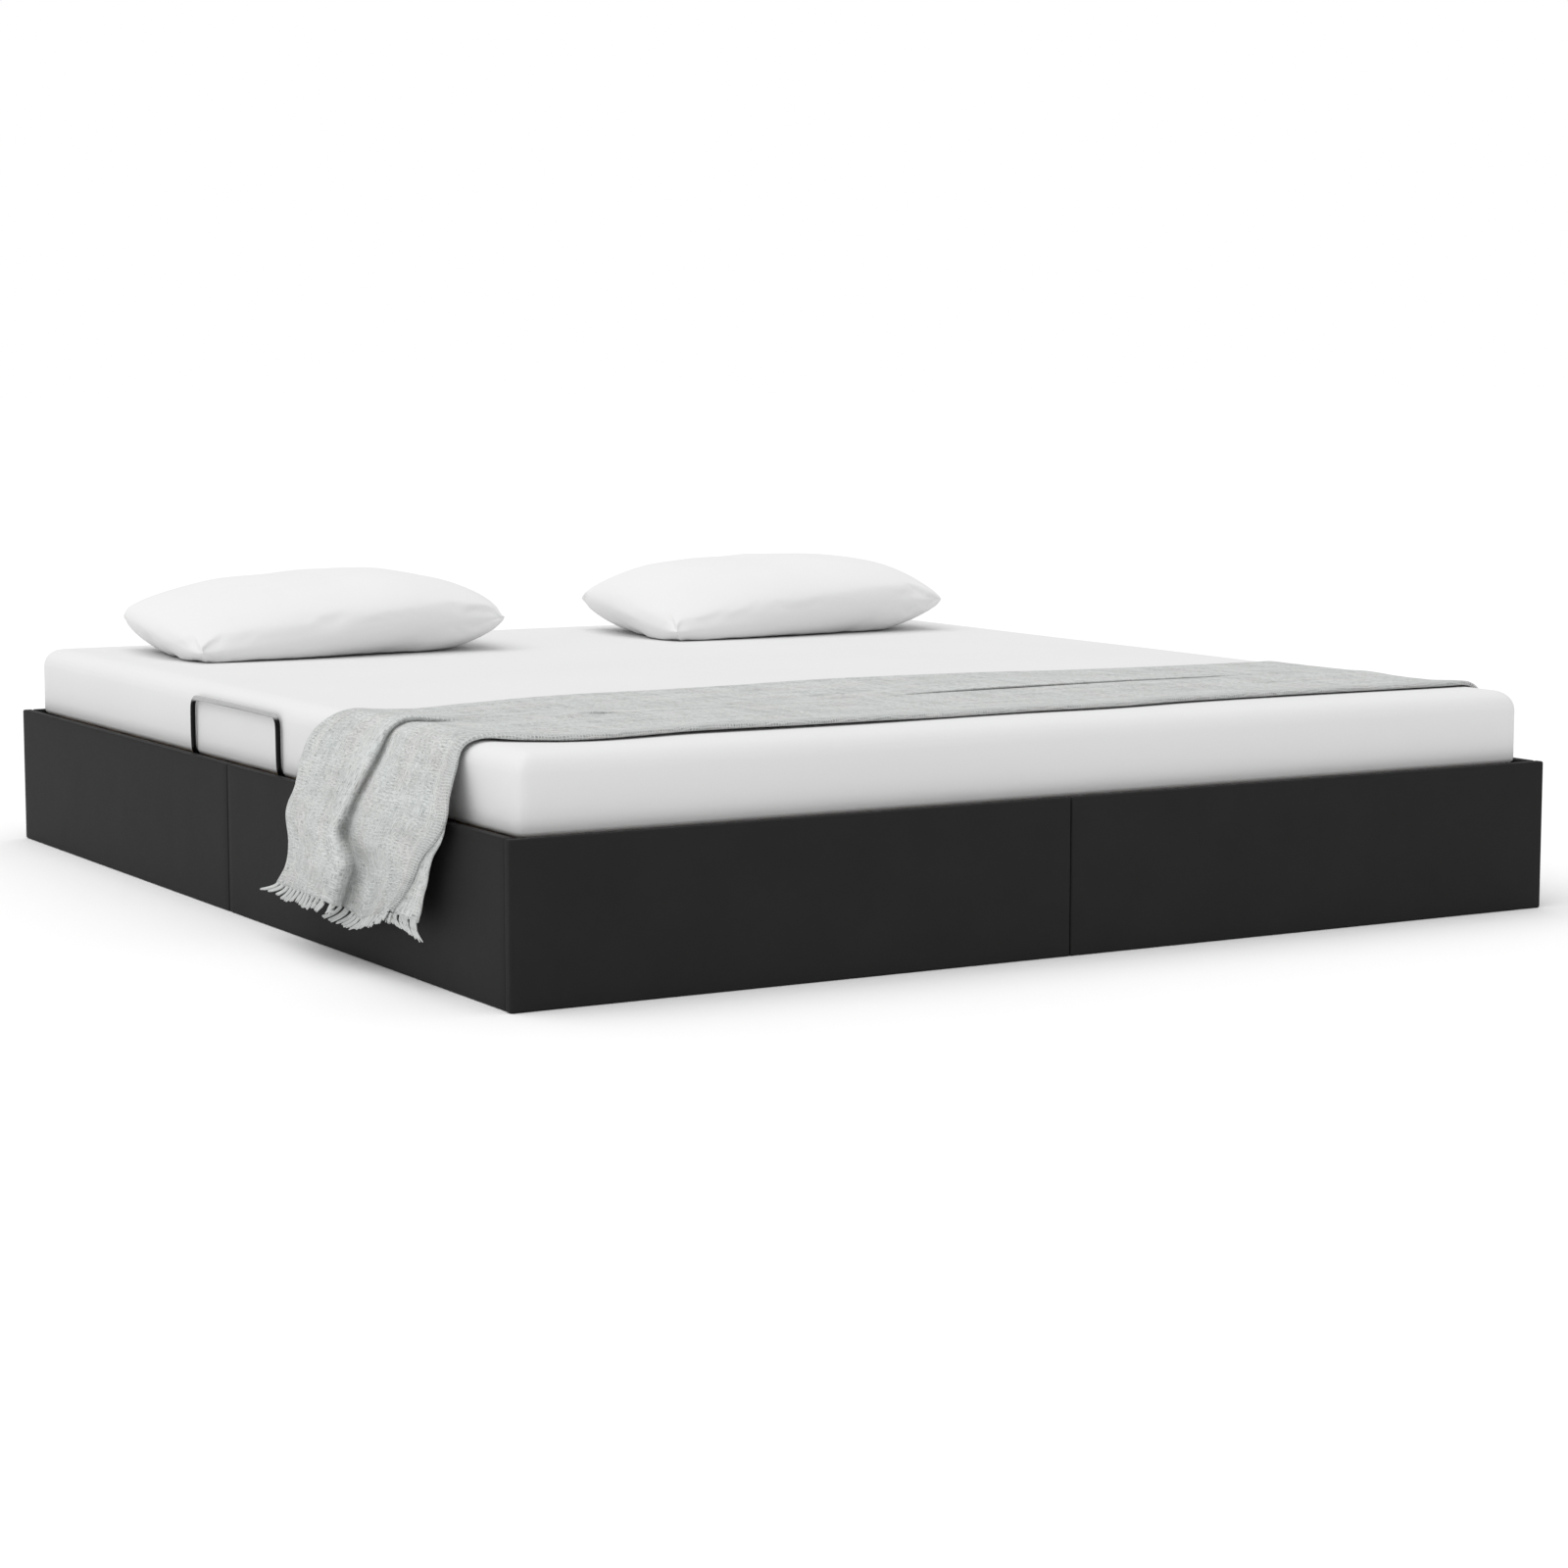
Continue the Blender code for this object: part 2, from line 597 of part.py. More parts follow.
def make_retainers(platform):
    """Bent rods that keep the mattress in place, each with two welded feet."""
    half_y, thick = 0.014, 0.0020
    base = RAIL_TOP + FIT
    for side, sx in SIDES:
        name = f"mattress_retainer_{side}"
        bm = bmesh.new()
        put_tube(bm, retainer_path(sx), ROD_RADIUS, 12)
        rod = add_object(name, bm, STEEL, parent=platform, smooth=True)
        feet = []
        for end, sy in ENDS:
            y = RETAINER_CENTRE_Y + sy * RETAINER_LEG_SPACING / 2
            foot = bmesh.new()
            x_pair = (sx * (RAIL_REACH_X - TUBE), sx * RAIL_REACH_X)
            box_between(foot, x_pair, (y - half_y, y + half_y), (base, base + thick))
            feet.append(add_object(f"{name}_{end}", foot, STEEL, parent=platform))
        fuse(rod, *feet)


# ---------------------------------------------------------------- bedding
def put_stack(bm, rings):
    """Close a stack of equal-length loops of points into one body."""
    loops = [[bm.verts.new(point) for point in ring] for ring in rings]
    bm.faces.new(loops[0])
    bm.faces.new(list(reversed(loops[-1])))
    count = len(loops[0])
    for here, there in zip(loops, loops[1:]):
        for i in range(count):
            j = (i + 1) % count
            bm.faces.new((here[j], here[i], there[i], there[j]))


def make_mattress(platform):
    profile = []
    low, high = MATTRESS_BOTTOM_ROUND, MATTRESS_TOP_ROUND
    for u, v in arc((low, MATTRESS_BOTTOM + low), low, 270, 180, 4):
        profile.append((u, v))
    for u, v in arc((high, MATTRESS_TOP - high), high, 180, 90, 5):
        profile.append((u, v))
    rings = []
    for inset, z in profile:
        corner = max(MATTRESS_CORNER - inset, 0.006)
        loop = rounded_loop(MATTRESS_WIDTH / 2 - inset, MATTRESS_LENGTH / 2 - inset, corner)
        rings.append([(x, y, z) for x, y in loop])
    bm = bmesh.new()
    put_stack(bm, rings)
    add_object("mattress", bm, TICKING, parent=platform, smooth=True)


def make_pillows(platform):
    half_x, half_y, height = PILLOW_SIZE[0] / 2, PILLOW_SIZE[1] / 2, PILLOW_SIZE[2]
    sides, squareness = 28, 3.6
    profile = [(0.62, 0.0), (0.86, 0.16), (0.97, 0.32), (1.0, 0.46), (0.93, 0.62), (0.76, 0.80)]
    profile += [(0.50, 0.93), (0.22, 1.0)]
    for name, (cx, cy) in PILLOW_CENTRES.items():
        rings = []
        for scale, level in profile:
            z = MATTRESS_TOP + FIT + height * level
            ring = []
            for i in range(sides):
                angle = 2 * math.pi * i / sides
                reach = abs(math.cos(angle)) ** squareness + abs(math.sin(angle)) ** squareness
                reach = scale / reach ** (1 / squareness)
                x = cx + half_x * reach * math.cos(angle)
                ring.append((x, cy + half_y * reach * math.sin(angle), z))
            rings.append(ring)
        bm = bmesh.new()
        put_stack(bm, rings)
        add_object(name, bm, COTTON, parent=platform, smooth=True)


def throw_edges(x):
    """Foot-side and head-side limits of the throw at x: it narrows where it hangs."""
    across = min(max((x + SIDE_OUT) / BED_WIDTH, 0.0), 1.0)
    start, end = THROW_PINCH_X
    hanging = min(max((-x - start) / (end - start), 0.0), 1.0)
    near = THROW_NEAR_Y + THROW_PINCH[0] * hanging
    far = THROW_FAR_Y + THROW_BULGE * math.sin(math.pi * across) + THROW_PINCH[1] * hanging
    return near, far


def make_throw(platform, drape):
    """Strip over the mattress and a hanging end beside the bed."""
    edge = MATTRESS_WIDTH / 2 - MATTRESS_TOP_ROUND
    radius = MATTRESS_TOP_ROUND + THROW_GAP
    level = MATTRESS_TOP - MATTRESS_TOP_ROUND
    target = (DRAPE_X + THROW_THICK / 2, DRAPE_TOP + 0.002)
    dx, dz = target[0] + edge, target[1] - level
    distance = math.hypot(dx, dz)
    leave = math.degrees(math.atan2(dz, dx)) - math.degrees(math.acos(radius / distance))
    path = [(edge + radius, 0.300)]
    path += arc((edge, level), radius, 0, 90, 6)
    path += [(edge * k / 6, level + radius) for k in range(5, -6, -1)]
    path += arc((-edge, level), radius, 90, leave % 360, 5)
    path.append(target)
    stations = []
    for i, (x, z) in enumerate(path):
        before, after = path[max(i - 1, 0)], path[min(i + 1, len(path) - 1)]
        tx, tz = after[0] - before[0], after[1] - before[1]
        size = math.hypot(tx, tz)
        out = (x + tz / size * THROW_THICK, z - tx / size * THROW_THICK)
        near, far = throw_edges(x)
        stations.append([(x, near, z), (x, far, z), (out[0], far, out[1]), (out[0], near, out[1])])
    bm = bmesh.new()
    put_stack(bm, stations)
    add_object("throw", bm, WEAVE, parent=platform)

    top = DRAPE_TOP - 0.002
    outline = [(-0.820, top), (-0.300, top), (-0.278, 0.193), (-0.302, 0.135), (-0.260, 0.088)]
    outline += [(-0.505, 0.088), (-0.545, 0.073), (-0.667, 0.082), (-0.762, 0.110), (-0.789, 0.162)]
    bm = bmesh.new()
    put_prism(bm, outline, DRAPE_X - THROW_THICK, DRAPE_X + THROW_THICK / 2, along_x)
    add_object("throw_end", bm, WEAVE, parent=drape)


# ---------------------------------------------------------------- assembly
def main():
    platform = add_pivot("pivot_lift", (HINGE_X, 0.0, HINGE_Z))
    drape = add_pivot("pivot_drape", (DRAPE_X, 0.0, DRAPE_TOP))
    make_panels()
    make_joiners()
    make_corner_brackets()
    make_floor()
    make_divider()
    make_cleats()
    make_rest_strips()
    make_hinges(platform)
    make_rails(platform)
    make_slats(platform)
    make_retainers(platform)
    for end, sy in ENDS:
        make_strut(end, sy)
        make_strut_brackets(end, sy, platform)
    make_mattress(platform)
    make_pillows(platform)
    make_throw(platform, drape)


main()
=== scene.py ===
"""Looks of the lift-up storage bed: panels, mattress, pillows and throw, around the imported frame."""
import json
import math

import bmesh
import bpy
import numpy as np
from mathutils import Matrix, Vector, noise


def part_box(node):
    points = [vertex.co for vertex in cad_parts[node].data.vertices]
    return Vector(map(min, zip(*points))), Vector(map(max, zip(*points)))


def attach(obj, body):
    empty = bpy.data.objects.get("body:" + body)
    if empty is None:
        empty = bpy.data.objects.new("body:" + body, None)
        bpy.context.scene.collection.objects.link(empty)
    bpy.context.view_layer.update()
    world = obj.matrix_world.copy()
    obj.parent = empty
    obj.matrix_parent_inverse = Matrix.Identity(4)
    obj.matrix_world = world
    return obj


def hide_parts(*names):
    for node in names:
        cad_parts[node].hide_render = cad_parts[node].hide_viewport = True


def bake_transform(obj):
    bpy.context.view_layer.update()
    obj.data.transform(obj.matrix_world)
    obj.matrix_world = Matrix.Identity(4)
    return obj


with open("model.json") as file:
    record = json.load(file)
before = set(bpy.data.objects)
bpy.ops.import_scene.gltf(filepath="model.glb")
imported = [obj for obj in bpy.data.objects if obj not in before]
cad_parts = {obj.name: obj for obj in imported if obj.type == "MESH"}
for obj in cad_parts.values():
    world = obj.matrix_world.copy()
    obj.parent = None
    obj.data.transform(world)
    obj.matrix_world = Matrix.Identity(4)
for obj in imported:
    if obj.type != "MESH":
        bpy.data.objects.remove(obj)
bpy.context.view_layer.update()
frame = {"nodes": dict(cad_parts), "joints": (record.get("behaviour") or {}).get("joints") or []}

NODES = frame["nodes"]
MM = 0.001

# ---------------------------- places read from the frame
MATTRESS_LOW, MATTRESS_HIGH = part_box("mattress")
PILLOW_BOXES = {node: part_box(node) for node in ("pillow_left", "pillow_right")}
HANG = next(joint for joint in frame["joints"] if joint["name"] == "throw_hang")
HANG_X, _, HANG_Z = HANG["pos_m"]  # line on which the hanging end of the throw turns
ROD_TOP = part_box("mattress_retainer_left")[1].z
SIDES = (("left", -1), ("right", 1))
ENDS = (("foot", -1), ("head", 1))


# ---------------------------- shader graphs
MIX_A, MIX_B, MIX_RESULT = 6, 7, 2  # colour sockets of a Mix node


class Graph:
    """A material and short ways to add nodes to it."""

    def __init__(self, name, roughness, metallic=0.0, specular=0.5):
        self.material = bpy.data.materials.new(name)
        self.material.use_nodes = True
        self.tree = self.material.node_tree
        self.inputs = self.tree.nodes["Principled BSDF"].inputs
        self.inputs["Roughness"].default_value = roughness
        self.inputs["Metallic"].default_value = metallic
        self.inputs["Specular IOR Level"].default_value = specular

    def add(self, kind, inputs=(), **settings):
        node = self.tree.nodes.new("ShaderNode" + kind)
        for name, value in settings.items():
            setattr(node, name, value)
        for key, value in dict(inputs).items():
            self.feed(node.inputs[key], value)
        return node

    def feed(self, socket, value):
        if isinstance(value, bpy.types.NodeSocket):
            self.tree.links.new(value, socket)
        else:
            socket.default_value = value

    def math(self, operation, first, second=0.0, third=0.0):
        node = self.add("Math", {0: first, 1: second, 2: third}, operation=operation)
        return node.outputs[0]

    def times(self, first, second):
        return self.math("MULTIPLY", first, second)

    def noise(self, vector, scale, detail=2.0, roughness=0.5, distortion=0.0):
        inputs = {"Vector": vector, "Scale": scale, "Detail": detail, "Roughness": roughness}
        inputs["Distortion"] = distortion
        return self.add("TexNoise", inputs).outputs["Fac"]

    def ramp(self, factor, stops):
        """A colour ramp; stops are (position, grey or colour)."""
        node = self.add("ValToRGB", {"Fac": factor})
        elements = node.color_ramp.elements
        while len(elements) < len(stops):
            elements.new(0.5)
        for element, (position, colour) in zip(elements, stops):
            element.position = position
            element.color = as_colour(colour)
        return node.outputs["Color"]

    def mix(self, factor, first, second, blend="MIX"):
        """One colour blended with another."""
        inputs = {"Factor": factor, MIX_A: first, MIX_B: second}
        node = self.add("Mix", inputs, data_type="RGBA", blend_type=blend)
        return node.outputs[MIX_RESULT]

    def split(self, vector):
        """The x, y and z of a vector."""
        return self.add("SeparateXYZ", {0: vector}).outputs

    def between(self, factor, low, high):
        """A number that runs from low to high as factor runs from 0 to 1."""
        node = self.add("MapRange", {"Value": factor, "To Min": low, "To Max": high})
        return node.outputs["Result"]

    def share(self, value, low, high):
        """0 up to low, 1 from high, and even between."""
        inputs = {"Value": value, "From Min": low, "From Max": high}
        return self.add("MapRange", inputs).outputs["Result"]

    def stretch(self, vector, scale):
        return self.add("Mapping", {"Vector": vector, "Scale": scale}).outputs["Vector"]

    def place(self, scale=(1.0, 1.0, 1.0)):
        """Row-frame position in metres, stretched by scale."""
        return self.stretch(self.add("TexCoord").outputs["Object"], scale)

    def cloth_place(self):
        """Position on the flat cloth in metres: across the strip, then along it."""
        return self.add("UVMap", uv_map="cloth").outputs["UV"]

    def colour(self, socket):
        self.feed(self.inputs["Base Color"], socket)

    def rough(self, socket):
        self.feed(self.inputs["Roughness"], socket)

    def bump(self, height, distance, strength):
        """A bump on top of those already there."""
        normal = self.inputs["Normal"]
        inputs = {"Height": height, "Distance": distance, "Strength": strength}
        if normal.is_linked:
            inputs["Normal"] = normal.links[0].from_socket
        self.feed(normal, self.add("Bump", inputs).outputs["Normal"])

    def sheen(self, weight):
        self.inputs["Sheen Weight"].default_value = weight


def as_colour(value):
    if isinstance(value, (int, float)):
        return (value, value, value, 1.0)
    return (*value, 1.0)


def wear(graph, low, high):
    """0 on flat and hollow places, 1 on sharp outer edges."""
    point = graph.add("NewGeometry").outputs["Pointiness"]
    return graph.share(point, low, high)


def stretched(along, amount):
    """A scale that draws a texture out along one axis."""
    scale = [1.0, 1.0, 1.0]
    scale["xyz".index(along)] = amount
    return tuple(scale)


def leather_material():
    """Smooth black faux leather: fine pebble grain, faint mottling and slightly rubbed edges."""
    graph = Graph("black_faux_leather", 0.5, specular=0.036)
    place = graph.place()
    mottle = graph.noise(place, 9.0, 4.0, 0.6)
    cells = graph.add("TexVoronoi", {"Vector": place, "Scale": 620.0}).outputs["Distance"]
    creases = graph.noise(place, 210.0, 6.0, 0.65)
    tone = graph.ramp(mottle, ((0.3, 0.0208), (0.7, 0.0232)))
    wear_and_highlight = (0.030, 0.030, 0.0305, 1.0)
    graph.colour(graph.mix(wear(graph, 0.52, 0.60), tone, wear_and_highlight))
    graph.rough(graph.between(creases, 0.44, 0.60))
    graph.bump(cells, 0.10 * MM, 0.5)
    graph.bump(creases, 0.12 * MM, 0.5)
    graph.bump(mottle, 1.2 * MM, 0.35)
    return graph.material


def board_material():
    """Grey wood-fibre board with fine flecks."""
    graph = Graph("grey_fibreboard", 0.7, specular=0.3)
    place = graph.place()
    fleck = graph.noise(graph.place((1.0, 3.0, 1.0)), 260.0, 6.0, 0.75)
    cloud = graph.noise(place, 6.0, 3.0)
    base = graph.ramp(fleck, ((0.35, (0.20, 0.19, 0.175)), (0.62, (0.36, 0.34, 0.315))))
    tint = graph.ramp(cloud, ((0.3, 0.86), (0.7, 1.0)))
    graph.colour(graph.mix(1.0, base, tint, "MULTIPLY"))
    graph.rough(graph.between(fleck, 0.6, 0.82))
    graph.bump(fleck, 0.2 * MM, 0.6)
    return graph.material


def wood_material(name, light, dark, along, roughness):
    """Wood whose grain runs along one axis: rings, fibres and pores."""
    graph = Graph(name, roughness, specular=0.35)
    place = graph.place(stretched(along, 0.06))
    bend = graph.noise(place, 7.0, 3.0, 0.5)
    rings = graph.noise(place, 34.0, 2.0, 0.5, 1.4)
    fibres = graph.noise(place, 420.0, 4.0, 0.7)
    bands = graph.math("FRACT", graph.times(graph.math("ADD", rings, bend), 7.0))
    fine = graph.times(fibres, 0.55)
    tone = graph.math("ADD", graph.times(bands, 0.45), fine)
    graph.colour(graph.ramp(tone, ((0.15, light), (0.85, dark))))
    graph.rough(graph.between(fibres, roughness - 0.08, roughness + 0.12))
    graph.bump(fibres, 0.15 * MM, 0.5)
    graph.bump(bands, 0.12 * MM, 0.2)
    return graph.material


def painted_material(name, tone, roughness, pitch):
    """Powder coat: orange-peel surface and faint dust."""
    graph = Graph(name, roughness)
    place = graph.place()
    peel = graph.noise(place, pitch, 2.0, 0.5)
    dust = graph.noise(place, 30.0, 5.0, 0.6)
    graph.colour(graph.ramp(dust, ((0.35, tone), (0.75, tone * 1.7))))
    graph.rough(graph.between(dust, roughness * 0.8, roughness * 1.25))
    graph.bump(peel, 0.08 * MM, 0.5)
    return graph.material


def rod_material():
    """Gloss black paint that turns light grey along the top bar, by height on the bed: a painted highlight.
    """
    graph = Graph("gloss_black_rod", 0.16, specular=0.14)
    place = graph.place()
    height = graph.split(place)[2]
    dust = graph.noise(place, 60.0, 5.0, 0.6)
    # painted highlight: the base colour is lightened along the top of the bar by height, standing in for the
    # gloss reflecting the light above; the noise only breaks it up
    wear_and_highlight = graph.share(height, ROD_TOP - 10.5 * MM, ROD_TOP - 6.0 * MM)
    cover = graph.times(wear_and_highlight, graph.between(dust, 0.80, 1.10))
    graph.colour(graph.ramp(cover, ((0.0, 0.002), (0.5, 0.20), (0.95, 0.44))))
    graph.rough(graph.between(dust, 0.13, 0.22))
    graph.bump(graph.noise(place, 500.0), 0.08 * MM, 0.5)
    return graph.material


def metal_material(name, tone, roughness, along):
    """Bare metal with drawing lines along one axis."""
    graph = Graph(name, roughness, metallic=1.0)
    lines = graph.noise(graph.place(stretched(along, 0.03)), 900.0, 3.0, 0.6)
    cloud = graph.noise(graph.place(), 45.0, 4.0, 0.6)
    bright = tuple(channel * 1.08 for channel in tone)
    graph.colour(graph.ramp(cloud, ((0.3, tone), (0.7, bright))))
    graph.rough(graph.between(lines, roughness * 0.7, roughness * 1.35))
    graph.bump(lines, 0.03 * MM, 0.4)
    return graph.material


def rubber_material():
    graph = Graph("matt_rubber", 0.85, specular=0.25)
    dust = graph.noise(graph.place(), 90.0, 5.0, 0.7)
    graph.colour(graph.ramp(dust, ((0.35, 0.012), (0.75, 0.03))))
    graph.rough(graph.between(dust, 0.75, 0.95))
    graph.bump(dust, 0.2 * MM, 0.5)
    return graph.material


def thread_lattice(graph, pitch):
    """Height of a fine cloth on any axis-aligned face: threads crossing at the given pitch."""
    step = 2 * math.pi / pitch
    axes = graph.split(graph.place((step, step, step)))
    total = graph.math("SINE", axes[0])
    for axis in (1, 2):
        total = graph.math("ADD", total, graph.math("SINE", axes[axis]))
    return graph.between(graph.times(total, 1 / 3), 0.3, 0.7)


def cloth_material(name, tone, pitch, grain, fuzz):
    """Fine white cloth: thread lattice, soft tone variation and a light nap."""
    graph = Graph(name, 0.88, specular=0.2)
    threads = thread_lattice(graph, pitch)
    place = graph.place()
    slub = graph.noise(graph.place((1.0, 6.0, 6.0)), 160.0, 4.0, 0.6)
    cloud = graph.noise(place, 3.5, 3.0, 0.5)
    blend = graph.math("MULTIPLY_ADD", slub, 0.35, graph.times(threads, 0.65))
    cool = tuple(channel * 0.965 for channel in tone)
    base = graph.ramp(blend, ((0.25, cool), (0.75, tone)))
    shade = graph.ramp(cloud, ((0.3, 0.985), (0.7, 1.0)))
    graph.colour(graph.mix(1.0, base, shade, "MULTIPLY"))
    graph.rough(graph.between(slub, 0.80, 0.96))
    graph.bump(threads, grain, 0.6)
    graph.bump(slub, grain * 1.5, 0.35)
    graph.sheen(fuzz)
    return graph.material


def yarn_row(graph, across, streak, patch):
    """Height of parallel yarns: uneven in thickness, clear in some patches and faint in others."""
    turn = graph.times(across, 2 * math.pi / WEAVE_PITCH)
    even = graph.between(graph.math("COSINE", turn), 0.25, 0.5)
    return graph.times(graph.math("MULTIPLY_ADD", streak, 1.1, even), patch)


def weave_material():
    """Open grey weave: uneven yarns both ways, dark gaps, and a coarser band along the near edge."""
    graph = Graph("throw_open_weave", 0.92, specular=0.12)
    uv = graph.cloth_place()
    wobble = graph.add("TexNoise", {"Vector": uv, "Scale": 17.0, "Detail": 2.0})
    shift = graph.add("VectorMath", {0: wobble.outputs["Color"], 1: (0.5, 0.5, 0.5)},
                      operation="SUBTRACT").outputs[0]
    bent = graph.add("VectorMath", {0: shift, 1: (0.016, 0.016, 0.0), 2: uv},
                     operation="MULTIPLY_ADD").outputs[0]
    axes = graph.split(bent)
    heights = []
    for axis, other in ((0, "y"), (1, "x")):
        along = graph.stretch(uv, stretched(other, 0.16))
        streak = graph.between(graph.noise(along, 520.0, 1.0), -0.6, 1.4)
        patch = graph.between(graph.noise(along, 42.0, 2.0), 0.1, 1.6)
        heights.append(yarn_row(graph, axes[axis], streak, patch))
    band_low = graph.math("GREATER_THAN", axes[0], FACE_WIDTH - BAND_REACH)
    band_high = graph.math("LESS_THAN", axes[0], FACE_WIDTH + BAND_REACH)
    band = graph.times(graph.times(band_low, band_high), 0.60)
    turns = [graph.times(axis, 2 * math.pi / BAND_PITCH) for axis in axes[:2]]
    net = [graph.math("COSINE", turn) for turn in turns]
    coarse = graph.between(graph.math("MAXIMUM", net[0], net[1]), 0.26, 0.90)
    height = graph.math("MAXIMUM", heights[0], heights[1])
    depth = graph.math("MULTIPLY_ADD", graph.math("SUBTRACT", coarse, height), band, height)
    base = graph.ramp(depth, ((0.22, (0.17, 0.176, 0.174)), (0.52, (0.475, 0.488, 0.482)),
                              (1.0, (0.685, 0.70, 0.693))))
    cloud = graph.noise(uv, 14.0, 3.0)
    tint = graph.ramp(cloud, ((0.35, (1.0, 0.985, 0.98)), (0.65, (0.97, 0.985, 0.98))))
    graph.colour(graph.mix(1.0, base, tint, "MULTIPLY"))
    graph.bump(depth, 1.1 * MM, 0.9)
    graph.sheen(0.10)
    return graph.material


def yarn_material():
    """Twisted yarn of the fringe: fine slanted strands."""
    graph = Graph("fringe_yarn", 0.92, specular=0.15)
    axes = graph.split(graph.cloth_place())
    slant = graph.math("MULTIPLY_ADD", axes[1], 3600.0, graph.times(axes[0], 4 * math.pi))
    strands = graph.between(graph.math("SINE", slant), 0.0, 1.0)
    fluff = graph.noise(graph.place(), 700.0, 3.0, 0.7)
    tone = graph.math("MULTIPLY_ADD", strands, 0.3, graph.times(fluff, 0.7))
    graph.colour(graph.ramp(tone, ((0.15, (0.50, 0.515, 0.505)), (0.75, (0.68, 0.695, 0.685)))))
    graph.bump(strands, 0.12 * MM, 0.5)
    graph.sheen(0.15)
    return graph.material


def floor_material():
    graph = Graph("studio_floor", 0.9, specular=0.0)
    cloud = graph.noise(graph.place(), 0.6, 2.0)
    graph.colour(graph.ramp(cloud, ((0.3, 0.97), (0.7, 0.985))))
    return graph.material


# ---------------------------- mesh helpers
def add_piece(name, bm, material, body, smooth=True):
    mesh = bpy.data.meshes.new(name)
    bm.to_mesh(mesh)
    bm.free()
    mesh.materials.append(material)
    if smooth:
        mesh.shade_smooth()
    item = bpy.data.objects.new(name, mesh)
    bpy.context.scene.collection.objects.link(item)
    if body:
        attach(item, body)
    return item


def apply_modifiers(item):
    """Bakes the modifiers of a piece into its mesh."""
    graph = bpy.context.evaluated_depsgraph_get()
    mesh = bpy.data.meshes.new_from_object(item.evaluated_get(graph))
    item.modifiers.clear()
    item.data = mesh


ROUND_STEPS = 5  # lattice cells across a rounded margin


def stops(low, high, first, last, step):
    """Lattice places between two faces: close together in the rounded margins, even between."""
    shares = [1 - math.cos(math.pi / 2 * k / ROUND_STEPS) for k in range(ROUND_STEPS + 1)]
    inner_low, inner_high = low + first, high - last
    count = max(1, round((inner_high - inner_low) / step))
    middle = [inner_low + (inner_high - inner_low) * k / count for k in range(1, count)]
    return [low + first * m for m in shares] + middle + [high - last * m for m in reversed(shares)]


def rounded_block(low, high, radius, step, bottom=None, corner=2.0):
    """A closed block with round edges; a higher corner power makes tighter upright edges."""
    first = (radius, radius, radius if bottom is None else bottom)
    last = (radius, radius, radius)
    places = [stops(low[k], high[k], first[k], last[k], step) for k in range(3)]
    sizes = [len(p) for p in places]
    bm = bmesh.new()
    verts = {}

    def vert(i, j, k):
        key = (i, j, k)
        if key not in verts:
            away, reach, core = [], [], []
            for n, index in enumerate(key):
                value = places[n][index]
                inner = min(max(value, low[n] + first[n]), high[n] - last[n])
                size = first[n] if value < inner else last[n]
                core.append(inner)
                reach.append(size)
                away.append((value - inner) / size)
            flat = (abs(away[0]) ** corner + abs(away[1]) ** corner) ** (1 / corner)
            length = math.hypot(flat, away[2])
            scale = 1 / length if length > 1e-6 else 0.0
            point = [core[n] + away[n] * scale * reach[n] for n in range(3)]
            verts[key] = bm.verts.new(point)
        return verts[key]

    for axis in range(3):
        u, v = (axis + 1) % 3, (axis + 2) % 3
        for side in (0, sizes[axis] - 1):
            for a in range(sizes[u] - 1):
                for b in range(sizes[v] - 1):
                    loop = []
                    for da, db in ((0, 0), (1, 0), (1, 1), (0, 1)):
                        index = [0, 0, 0]
                        index[axis], index[u], index[v] = side, a + da, b + db
                        loop.append(vert(*index))
                    bm.faces.new(loop if side else loop[::-1])
    return bm


def soft_noise(point, scale, seed):
    return noise.noise(Vector(point) * scale + Vector((seed * 7.1, seed * 3.3, seed * 5.7)))


def smoothstep(value, low, high):
    t = np.clip((value - low) / (high - low), 0.0, 1.0)
    return t * t * (3 - 2 * t)


# ---------------------------- upholstered base
PANEL_ROUND = 3.2 * MM  # radius of the padded edges
PANEL_STEP = 16 * MM  # lattice step
PANEL_CROWN = 0.42 * MM  # how far the middle of a face swells
PANEL_SINK = 0.5 * MM  # cover inside the CAD faces, room for the crown


def upholstered_panel(node, material, seed):
    """A board wrapped in faux leather over thin foam: soft edges, a slight crown and faint ripples."""
    low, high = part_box(node)
    low, high = low + Vector((PANEL_SINK,) * 3), high - Vector((PANEL_SINK,) * 3)
    low.z = 0.0
    bm = rounded_block(low, high, PANEL_ROUND, PANEL_STEP)
    bm.normal_update()
    flat = min(range(2), key=lambda k: high[k] - low[k])
    run = 1 - flat
    middle = (low + high) / 2
    for vert in bm.verts:
        u = (vert.co[run] - low[run]) / (high[run] - low[run])
        w = (vert.co.z - low.z) / (high.z - low.z)
        rise = (16 * u * (1 - u) * w * (1 - w)) ** 0.35
        ripple = soft_noise(vert.co, 5.0, seed) * 0.21 + soft_noise(vert.co, 16.0, seed) * 0.072
        out = 1 if vert.co[flat] > middle[flat] else -1
        if abs(vert.normal[flat]) > 0.8:
            vert.co[flat] += out * (PANEL_CROWN + ripple * MM) * rise
    piece = add_piece(f"{node}_cover", bm, material, "base")
    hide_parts(node)


def make_panels(leather):
    for seed, name in enumerate(sorted(name for name in NODES if "_panel_" in name)):
        upholstered_panel(name, leather, seed)


def round_rod(item):
    """Turns the facets of a bent rod into a smooth round section of the same thickness."""
    weld = item.modifiers.new("weld", "WELD")
    weld.merge_threshold = 0.01 * MM
    # joins the triangles of each flat facet again, so that the subdivision stays even
    facets = item.modifiers.new("facets", "DECIMATE")
    facets.decimate_type = "DISSOLVE"
    facets.angle_limit = math.radians(1.5)
    smooth = item.modifiers.new("round", "SUBSURF")
    smooth.levels = smooth.render_levels = 2
    thicken = item.modifiers.new("full", "DISPLACE")
    thicken.mid_level = 0.0
    thicken.strength = 0.35 * MM


